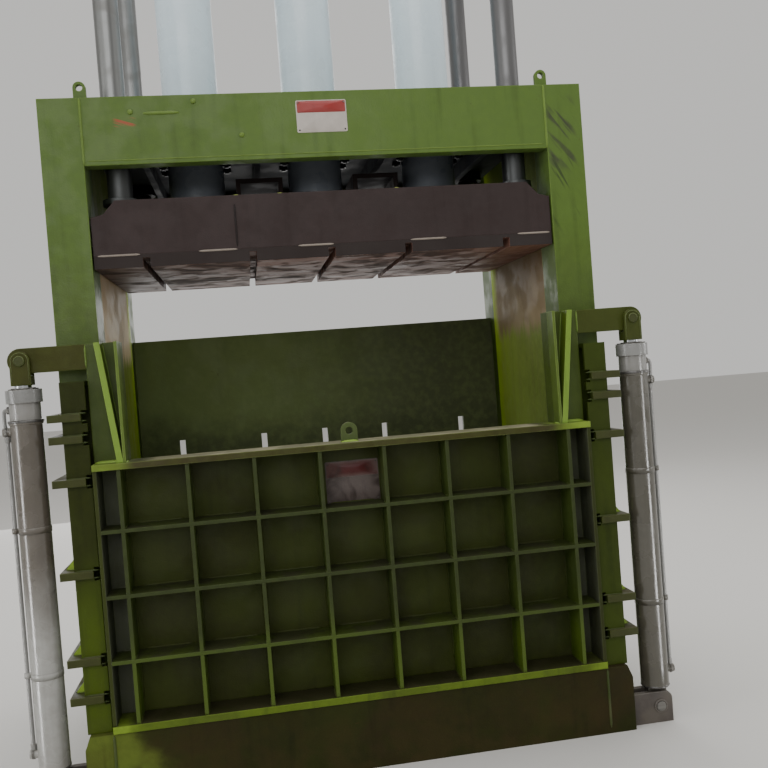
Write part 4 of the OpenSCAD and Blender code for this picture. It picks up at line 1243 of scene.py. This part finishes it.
    def gusset_seams(self) -> None:
        """Runs a bright bead up the foot of each gusset, and one along it."""
        seams = Surface("gusset_seams", Look.BRIGHT_WELD)
        low, high = corners("right_gate_keepers")
        reach = tuple(high[0] + end for end in self.gusset_reach)
        for foot, out in product(GUSSET_FEET, (-Y, Y)):
            y = (low[1] + high[1]) / 2 + self.gusset_half * out[1]
            seams.bead(high[0], y, (foot, foot + self.gusset_rise), X, out, self.gusset_seam)
            seams.bead(reach, y, foot - self.gusset_drop, Z, out, self.gusset_foot_seam)
        seams.mirror()
        seams.finish()

    def spatter(self, face: float) -> None:
        """Puts the left-over nubs and the short bar on the front beam.

        Args:
            face: Y of the beam's face.
        """
        marks = Surface("beam_nubs", Look.FRAME_WELD_AND_HIGHLIGHT)
        for x, z in self.nubs:
            marks.add(nub(at(x, face, z), *self.nub_size))
        marks.bead(self.bar_x, face, self.bar_z, Z, -Y, self.bar, pitch=self.bar_pitch)
        marks.finish()

    def build(self) -> None:
        """Adds every seam, nub and sign of the frame."""
        face = corners("front_top_beam")[0][1]
        self.beam_seams()
        self.base_seams()
        self.rib_seams()
        self.gusset_seams()
        self.spatter(face)
        Sign("beam_sign", at(-0.001, face, self.sign_z), *self.sign_size, Body.FRAME, Look.SIGN,
             Look.SIGN_BAND).build()


@dataclass
class Platen:
    """The pressing platen's stitch welds, the seam of its skirt and its stiffeners' tags."""

    lip_runs: tuple[Pair, ...] = ((-0.837, -0.688), (-0.483, -0.343), (-0.124, 0.010),
                                  (0.297, 0.438), (0.713, 0.845))
    seam_x: float = -0.343
    seam_z: Pair = (1.903, 2.060)
    radius: float = 0.0035
    foot_radius: float = 0.00455
    stiffener_width: float = 0.187
    tags_x: tuple[float, ...] = (-0.334, -0.175, 0.262)
    tag_inset: float = 0.008
    tag_half: float = 0.014
    tag_radius: float = 0.007
    tag_pitch: float = 0.020

    def build(self) -> None:
        """Adds the stitches along the lip, the skirt's seam, the stiffeners' feet and the tags."""
        low, high = corners("platen_box")
        lip = Surface("lip_stitches", Look.LIP_WELD, Body.PLATEN)
        for run in self.lip_runs:
            lip.bead(run, low[1], low[2], Z, -Y, self.radius)
            lip.bead(run, high[1], low[2], Z, Y, self.radius)
        lip.finish()
        seams = Surface("platen_seams", Look.PLATEN_WELD, Body.PLATEN)
        foot_low, foot_high = corners("platen_stiffeners")
        for edge in (foot_high[0], foot_high[0] - self.stiffener_width):
            seams.bead(edge, (foot_low[1], foot_high[1]), foot_low[2], X, Z, self.foot_radius)
        seams.mirror()
        seams.bead(self.seam_x, low[1], self.seam_z, X, -Y, self.radius)
        seams.finish()
        tags = Surface("stiffener_tags", Look.TAG, Body.PLATEN)
        for x in self.tags_x:
            tags.bead((x - self.tag_half, x + self.tag_half), low[1] + self.tag_inset, high[2],
                      Y, Z, self.tag_radius, pitch=self.tag_pitch)
        tags.finish()


@dataclass
class MainCylinders:
    """Weld rings, wipers, plugs and bush screws of the main cylinders and guide columns."""

    pitch: float = 0.488
    barrel: float = 0.1125
    bush: float = 0.065
    bush_height: float = 0.020
    bush_flange: float = 0.073
    bush_screw: Pair = (0.0075, 0.006)
    column: float = 0.045
    rod: float = 0.070
    wiper_gap: float = 0.0006
    rod_wiper: Pair = (0.080, 0.003)
    column_wiper: Pair = (0.057, 0.006)
    foot_ring: Pair = (0.1145, 0.007)
    cap_ring: Pair = (0.0985, 0.006)
    cap_height: float = 0.016
    port_drop: float = 0.076
    top_plug: Pair = (0.022, 0.014)
    port_plug: Pair = (0.022, 0.012)

    def build(self) -> None:
        """Adds the rings, plugs, wipers and screws."""
        rings = Surface("barrel_weld_rings", Look.BARREL)
        plugs = Surface("barrel_plugs", Look.TURNED, smooth=False)
        wipers = Surface("rod_wipers", Look.TURNED)
        bush_top = corners("guide_bushes")[1][2]
        for node in ("front_guide_columns", "rear_guide_columns"):
            low, high = corners(node)
            column = at(high[0] - self.bush, (low[1] + high[1]) / 2, bush_top)
            wipers.add(collar(column, Z, self.column + self.wiper_gap, *self.column_wiper), True)
            column[2] = DECK_TOP + self.bush_height
            for place in between_axes(column, self.bush_flange):
                plugs.add(screw_head(place, Z, *self.bush_screw))
        wipers.mirror()
        plugs.mirror()
        low, high = corners("centre_main_barrel")
        y, top = low[1] + self.barrel, high[2]
        flange_top = corners("barrel_flanges")[1][2]
        gland_foot = corners("main_glands")[0][2]
        for x in (-self.pitch, 0.0, self.pitch):
            rings.add(round_bead(at(x, y, flange_top), *self.foot_ring), True)
            rings.add(round_bead(at(x, y, top - self.cap_height), *self.cap_ring), True)
            plugs.add(screw_head(at(x, y, top), Z, *self.top_plug))
            plugs.add(screw_head(at(x, high[1], top - self.port_drop), Y, *self.port_plug))
            wipers.add(collar(at(x, y, gland_foot), -Z, self.rod + self.wiper_gap,
                              *self.rod_wiper), True)
        for surface in (rings, plugs, wipers):
            surface.finish()


@dataclass
class Gate:
    """The gate's welds and its sign: crossings, cells, eye, ears and arms."""

    upright_count: int = 8
    cross_count: int = 3
    rib: float = 0.013
    skin_depth: float = 0.116
    crossing_reach: Pair = (0.003, 0.052)
    crossing_seam: float = 0.0032
    plate_reach: Pair = (0.004, 0.090)
    plate_seam: float = 0.0036
    cell_seam: float = 0.004
    cell_inset: float = 0.04
    cell_insets: Pair = (0.03, 0.014)
    wide_cell: float = 0.1
    ear_depth: float = 0.060
    ear_width: float = 0.115
    ear_edge: float = 0.010
    ear_rib: float = 0.020
    ear_slant: float = 0.047
    ear_foot: float = 0.006
    ear_lap: float = 0.002
    bead_end: float = 0.004
    slant_ends: Pair = (0.01, 0.004)
    side_end: float = 0.002
    ear_foot_seam: float = 0.010
    ear_foot_pitch: float = 0.011
    ear_rib_seam: float = 0.006
    eye_seam: float = 0.008
    eye_pitch: float = 0.010
    slant_seam: float = 0.0032
    side_seam: float = 0.0034
    sign_x: float = 0.007
    sign_z: float = 1.016
    sign_size: Pair = (0.198, 0.155)

    def __post_init__(self) -> None:
        """Works out the ribs' middles across and up, and the grid's front, foot, top and skin."""
        low, high = corners("gate_uprights")
        cross_low, cross_high = corners("gate_cross_ribs")
        self.half = self.rib / 2
        self.across = np.linspace(low[0] + self.half, high[0] - self.half, self.upright_count)
        self.up = np.linspace(cross_low[2] + self.half, cross_high[2] - self.half, self.cross_count)
        self.front, self.bottom, self.top = low[1], low[2], high[2]
        self.skin = self.front + self.skin_depth

    def crossing_welds(self) -> None:
        """Runs a short bead into the cell at each corner of each crossing of two ribs."""
        welds = Surface("crossing_welds", Look.GRID_WELD, Body.GATE)
        depth = tuple(self.front + reach for reach in self.crossing_reach)
        for x, z, side, level in product(self.across, self.up, SIDES, SIDES):
            welds.bead(x + side * self.half, depth, z + level * self.half, side * X, level * Z,
                       self.crossing_seam, flat=1.0)
        welds.finish()

    def cell_welds(self) -> None:
        """Stitches the ribs to the skin in each cell, and to the top and foot plates."""
        welds = Surface("cell_welds", Look.CELL, Body.GATE)
        depth = tuple(self.front + reach for reach in self.plate_reach)
        for x, side in product(self.across, SIDES):
            face = x + side * self.half
            for low, high in pairwise([self.bottom, *self.up, self.top]):
                welds.bead(face, self.skin, (low + self.cell_inset, high - self.cell_inset),
                           side * X, -Y, self.cell_seam)
            for level, out in ((self.bottom, Z), (self.top, -Z)):
                welds.bead(face, depth, level, side * X, out, self.plate_seam)
        for z, level in product(self.up, SIDES):
            for start, end in pairwise([-GRID_END, *self.across, GRID_END]):
                inset = self.cell_insets[0 if end - start > self.wide_cell else 1]
                welds.bead((start + inset, end - inset), self.skin, z + level * self.half,
                           level * Z, -Y, self.cell_seam)
        welds.finish()

    def ear_welds(self) -> None:
        """Adds the fat bright beads at the ears' feet, on their ribs, arms and the eye."""
        plate_low, plate_high = corners("gate_top_plate")
        top, outer = plate_high[2], plate_high[0]
        ear_top = corners("right_ear")[1][2]
        arm_foot = corners("lift_arms")[0][2]
        front = plate_low[1] + self.ear_foot
        face = front + self.ear_depth
        inner = outer - self.ear_width
        slant_foot = inner + self.ear_edge + self.ear_rib
        welds = Surface("ear_welds", Look.BRIGHT_WELD, Body.GATE)
        welds.bead((inner + self.bead_end, outer), face, top, -Y, Z, self.ear_foot_seam,
                   pitch=self.ear_foot_pitch)
        for x in (inner + self.ear_lap, slant_foot):
            welds.bead(x, (front + self.bead_end, face), top, X, Z, self.ear_rib_seam)
        welds.mirror()
        eye_low, eye_high = corners("gate_eye")
        for level, out in ((eye_low[1], -Y), (eye_high[1], Y)):
            welds.bead((eye_low[0] - self.bead_end, eye_high[0] + self.bead_end), level, top, out,
                       Z, self.eye_seam, pitch=self.eye_pitch)
        welds.finish()
        seams = Surface("ear_seams", Look.FRAME_WELD_AND_HIGHLIGHT, Body.GATE)
        rise = (top + self.slant_ends[0], ear_top - self.slant_ends[1])
        for foot in (slant_foot, slant_foot - self.ear_rib):
            seams.bead((foot, foot + self.ear_slant), face, rise, X, -Y, self.slant_seam)
        seams.bead(outer, face, (arm_foot + self.side_end, ear_top - self.side_end), X, -Y,
                   self.side_seam)
        seams.mirror()
        seams.finish()

    def build(self) -> None:
        """Adds every weld and the sign."""
        self.crossing_welds()
        self.cell_welds()
        self.ear_welds()
        Sign("gate_sign", at(self.sign_x, self.skin, self.sign_z), *self.sign_size, Body.GATE,
             Look.DIRTY_SIGN, Look.DIRTY_BAND).build()


@dataclass
class GateLift:
    """Fittings of the two gate cylinders: wipers, screws, weld rings, elbows and clamps."""

    barrel: float = 0.053
    wiper: tuple[float, float, float] = (0.0286, 0.041, 0.006)
    neck: float = 0.062
    head_height: float = 0.046
    head_screws: float = 0.050
    head_screw: Pair = (0.0065, 0.004)
    neck_nut: Pair = (0.013, 0.010)
    neck_sink: float = 0.002
    neck_drop: float = 0.022
    port_nut: Pair = (0.019, 0.010)
    port_drop: float = 0.034
    port_rise: float = 0.055
    pipe: float = 0.0065
    pipe_offset: float = 0.0655
    bends: tuple[Pair, ...] = ((0.008, 0.0), (0.016, -0.001), (0.0193, -0.010), (0.0195, -0.030),
                               (0.0195, -0.050), (0.0170, -0.066))
    neck_ring: Pair = (0.054, 0.005)
    neck_ring_drop: float = 0.001
    foot_ring: Pair = (0.049, 0.005)
    foot_ring_rise: float = 0.003
    clamp_levels: Pair = (0.45, 0.95)
    clamp: tuple[float, float, float] = (0.052, 0.055, 0.022)
    clamp_eye: tuple[Pair, ...] = ((0.0, 0.002), (0.011, 0.002), (0.011, 0.020), (0.0, 0.020))
    nut_foot: float = 0.010
    foot: float = 0.133
    clevis_half: float = 0.033
    clevis_edge: float = 0.005
    cheek_foot: float = 0.012
    pin_arch: float = 0.0165
    # Radius of the thin arches that paint a highlight on the clevises.
    arch_highlight_radius: float = 0.0011
    bracket_seam: float = 0.006
    bracket_ends: Pair = (0.006, 0.004)
    pin_ring: tuple[float, float, float] = (0.0182, 0.026, 0.004)

    def __post_init__(self) -> None:
        """Works out the right cylinder's axis, and the heights of its head, barrel and ring."""
        low, high = corners("right_lift_rod")
        self.x, self.y = (low[:2] + high[:2]) / 2
        self.head_top = corners("lift_heads")[1][2]
        self.barrel_top = self.head_top - self.head_height
        self.ring_top = self.barrel_top - self.neck

    def fittings(self) -> None:
        """Adds the wipers, head screws, port nuts and the elbow from the neck to the port."""
        wipers = Surface("lift_wipers", Look.TURNED)
        nuts = Surface("lift_nuts", Look.TURNED, smooth=False)
        elbows = Surface("lift_elbows", Look.LIFT_HEAD)
        head = at(self.x, self.y, self.head_top)
        wipers.add(collar(head, Z, *self.wiper), True)
        for place in between_axes(head, self.head_screws):
            nuts.add(screw_head(place, Z, *self.head_screw))
        neck = at(self.x + self.barrel - self.neck_sink, self.y, self.barrel_top - self.neck_drop)
        nuts.add(screw_head(neck, X, *self.neck_nut))
        for level in (self.ring_top - self.port_drop, self.foot + self.port_rise):
            nuts.add(screw_head(at(self.x + self.barrel + self.nut_foot, self.y, level), X,
                                *self.port_nut))
        elbows.add(tube(smooth_path(neck + np.array(self.bends) @ np.stack([X, Z])), self.pipe, 12))
        for surface in (wipers, nuts, elbows):
            surface.mirror()
            surface.finish()

    def rings(self) -> None:
        """Adds the weld rings under the neck and at the foot, and the pipe clamps."""
        for side, look, name in zip(SIDES, (Look.LEFT_LIFT, Look.RIGHT_LIFT), ("left", "right")):
            x, y = side * self.x, self.y
            rings = Surface(name + "_lift_rings", Look.LIFT_WELD)
            for level, size in ((self.ring_top - self.neck_ring_drop, self.neck_ring),
                                (self.foot + self.foot_ring_rise, self.foot_ring)):
                rings.add(round_bead(at(x, y, level), *size), True)
            rings.finish()
            clamps = Surface(name + "_pipe_clamps", look)
            for level in self.clamp_levels:
                clamps.add(collar(at(x, y, level), Z, *self.clamp), True)
                clamps.add(lathe(at(x + side * self.pipe_offset, y, level), Z, self.clamp_eye, 16))
            clamps.finish()

    def clevis_highlights(self) -> None:
        """Paints a highlight round each clevis's front cheek and over its pin, as two thin arches.
        """
        low, high = corners("lift_clevises")
        pin_front = corners("clevis_pins")[0][1]
        inset = self.clevis_half - self.clevis_edge
        turn = np.linspace(0.0, np.pi, 16)[:, None]
        arch = np.cos(turn) * X + np.sin(turn) * Z
        cheek = at(self.x, low[1], high[2] - self.clevis_half)
        feet = at(self.x, low[1], low[2] + self.cheek_foot) + inset * np.array([X, -X])
        pin = at(self.x, pin_front, cheek[2])
        # Painted highlights: the arches stand for the bright rim of the cheek and the top edge of
        # the pin.
        beads = Surface("clevis_highlights", Look.ARCH_HIGHLIGHT, Body.GATE)
        for path in (np.concatenate([feet[:1], cheek + inset * arch, feet[1:]]),
                     pin + self.pin_arch * arch):
            beads.add(tube(path, self.arch_highlight_radius, 8))
        beads.mirror()
        beads.finish()

    def bracket_seams(self) -> None:
        """Welds the foot brackets to the base beam and rings their pins."""
        low, high = corners("lift_brackets")
        base_x = corners("base_front_beam")[1][0]
        pin_z = corners("foot_pins")[:, 2].mean()
        seams = Surface("bracket_seams", Look.BRACKET)
        foot, head = self.bracket_ends
        for level, out in ((low[1], -Y), (high[1], Y)):
            seams.bead(base_x, level, (foot, high[2] - head), X, out, self.bracket_seam)
        seams.add(collar(at(self.x, low[1], pin_z), -Y, *self.pin_ring), True)
        seams.mirror()
        seams.finish()

    def build(self) -> None:
        """Adds every fitting of the gate cylinders."""
        self.fittings()
        self.rings()
        self.clevis_highlights()
        self.bracket_seams()


# The studio


@dataclass(frozen=True)
class Panel:
    """A square soft light, size metres wide, that shines from its place at a point."""

    name: str
    place: Place
    aim: Place
    size: float
    power: float

    def hang(self) -> None:
        """Hangs the light."""
        data = bpy.data.lights.new(self.name, "AREA")
        data.size, data.energy = self.size, self.power
        lamp = shown(self.name, data)
        ahead = Vector(self.aim) - Vector(self.place)
        lamp.location = self.place
        lamp.rotation_euler = ahead.to_track_quat("-Z", "Y").to_euler()
        lamp.visible_camera = False


@dataclass(frozen=True)
class Strip:
    """A tall narrow light with slats, seen only in the glossy lift barrel beside it."""

    name: str
    place: Place
    turn: float
    size: Pair = (0.13, 1.4)
    power: float = 0.55
    spread: float = math.radians(44.0)
    tilt: float = math.radians(101.0)

    def stand(self) -> None:
        """Stands the light, turned about Z from shining towards +Y."""
        data = bpy.data.lights.new(self.name, "AREA")
        data.shape, data.spread, data.energy = "RECTANGLE", self.spread, self.power
        data.size, data.size_y = self.size
        strip = shown(self.name, data)
        strip.location = self.place
        strip.rotation_euler = (self.tilt, 0.0, self.turn)
        strip.visible_camera = strip.visible_diffuse = False


@dataclass
class Studio:
    """Plain floor, soft light and the camera."""

    eye: Place = (-0.3419, -3.6894, 1.4272)
    yaw: float = 0.152
    pitch: float = -0.0196
    roll: float = -0.0766
    lens: float = 41.21
    floor_reach: float = 30.0
    sky: Colour = (0.92, 0.91, 0.88)
    sky_strength: float = 0.72
    panels: tuple[Panel, ...] = (
        Panel("sky_panel", (0.5, 1.0, 8.0), (0.0, 0.0, 1.2), 7.0, 460.0),
        Panel("front_panel", (-1.5, -6.5, 4.5), (0.0, 0.3, 1.5), 5.0, 170.0),
        Panel("rear_panel", (-0.6, 6.0, 2.6), (0.0, 0.3, 1.6), 6.0, 160.0),
        Panel("left_panel", (-7.0, -2.6, 2.6), (-1.1, -0.5, 0.9), 2.4, 90.0),
        Panel("right_panel", (7.0, -1.2, 2.6), (1.1, -0.5, 0.9), 2.4, 90.0))
    strips: tuple[Strip, ...] = (Strip("left_strip", (-1.71, -0.84, 0.7), -1.058),
                                 Strip("right_strip", (1.566, -1.02, 0.7), 0.728))

    def camera(self) -> None:
        """Places the camera by its yaw, pitch and roll."""
        cos_yaw, sin_yaw = math.cos(self.yaw), math.sin(self.yaw)
        cos_pitch, sin_pitch = math.cos(self.pitch), math.sin(self.pitch)
        ahead = Vector((sin_yaw * cos_pitch, cos_yaw * cos_pitch, sin_pitch))
        level = Vector((cos_yaw, -sin_yaw, 0.0))
        upright = level.cross(ahead)
        right = level * math.cos(self.roll) + upright * math.sin(self.roll)
        up = -level * math.sin(self.roll) + upright * math.cos(self.roll)
        data = bpy.data.cameras.new("camera")
        data.sensor_width = 36.0
        data.lens = self.lens
        data.clip_end = 100.0
        camera = shown("camera", data)
        turned = Matrix((right, up, -ahead)).transposed().to_4x4()
        camera.matrix_world = Matrix.Translation(Vector(self.eye)) @ turned
        bpy.context.scene.camera = camera

    def floor(self) -> None:
        """Lays the floor."""
        reach = self.floor_reach
        mesh = bpy.data.meshes.new("floor")
        mesh.from_pydata([(-reach, -reach, 0.0), (reach, -reach, 0.0), (reach, reach, 0.0),
                          (-reach, reach, 0.0)], [], [(0, 1, 2, 3)])
        mesh.materials.append(Shader("floor_grey").finish(rgb(196, 194, 190), 0.8))
        floor = shown("floor", mesh)

    def light(self) -> None:
        """Lights the machine as an open, overcast sky does, with more from above and behind."""
        world = bpy.data.worlds.new("sky")
        world.use_nodes = True
        colour, strength = world.node_tree.nodes["Background"].inputs[:2]
        colour.default_value = (*self.sky, 1.0)
        strength.default_value = self.sky_strength
        bpy.context.scene.world = world
        for panel in self.panels:
            panel.hang()
        for strip in self.strips:
            strip.stand()

    def build(self) -> None:
        """Makes the camera, floor and lights."""
        self.camera()
        self.floor()
        self.light()


def main() -> None:
    """Builds the machine's looks, piece by piece."""
    logging.basicConfig(level=logging.INFO, format="%(name)s: %(message)s")
    Studio().build()
    dress_nodes()
    for assembly in (MainFrame, Platen, MainCylinders, Gate, GateLift):
        LOG.info("building %s", assembly.__name__)
        assembly().build()


if __name__ == "__main__":
    main()
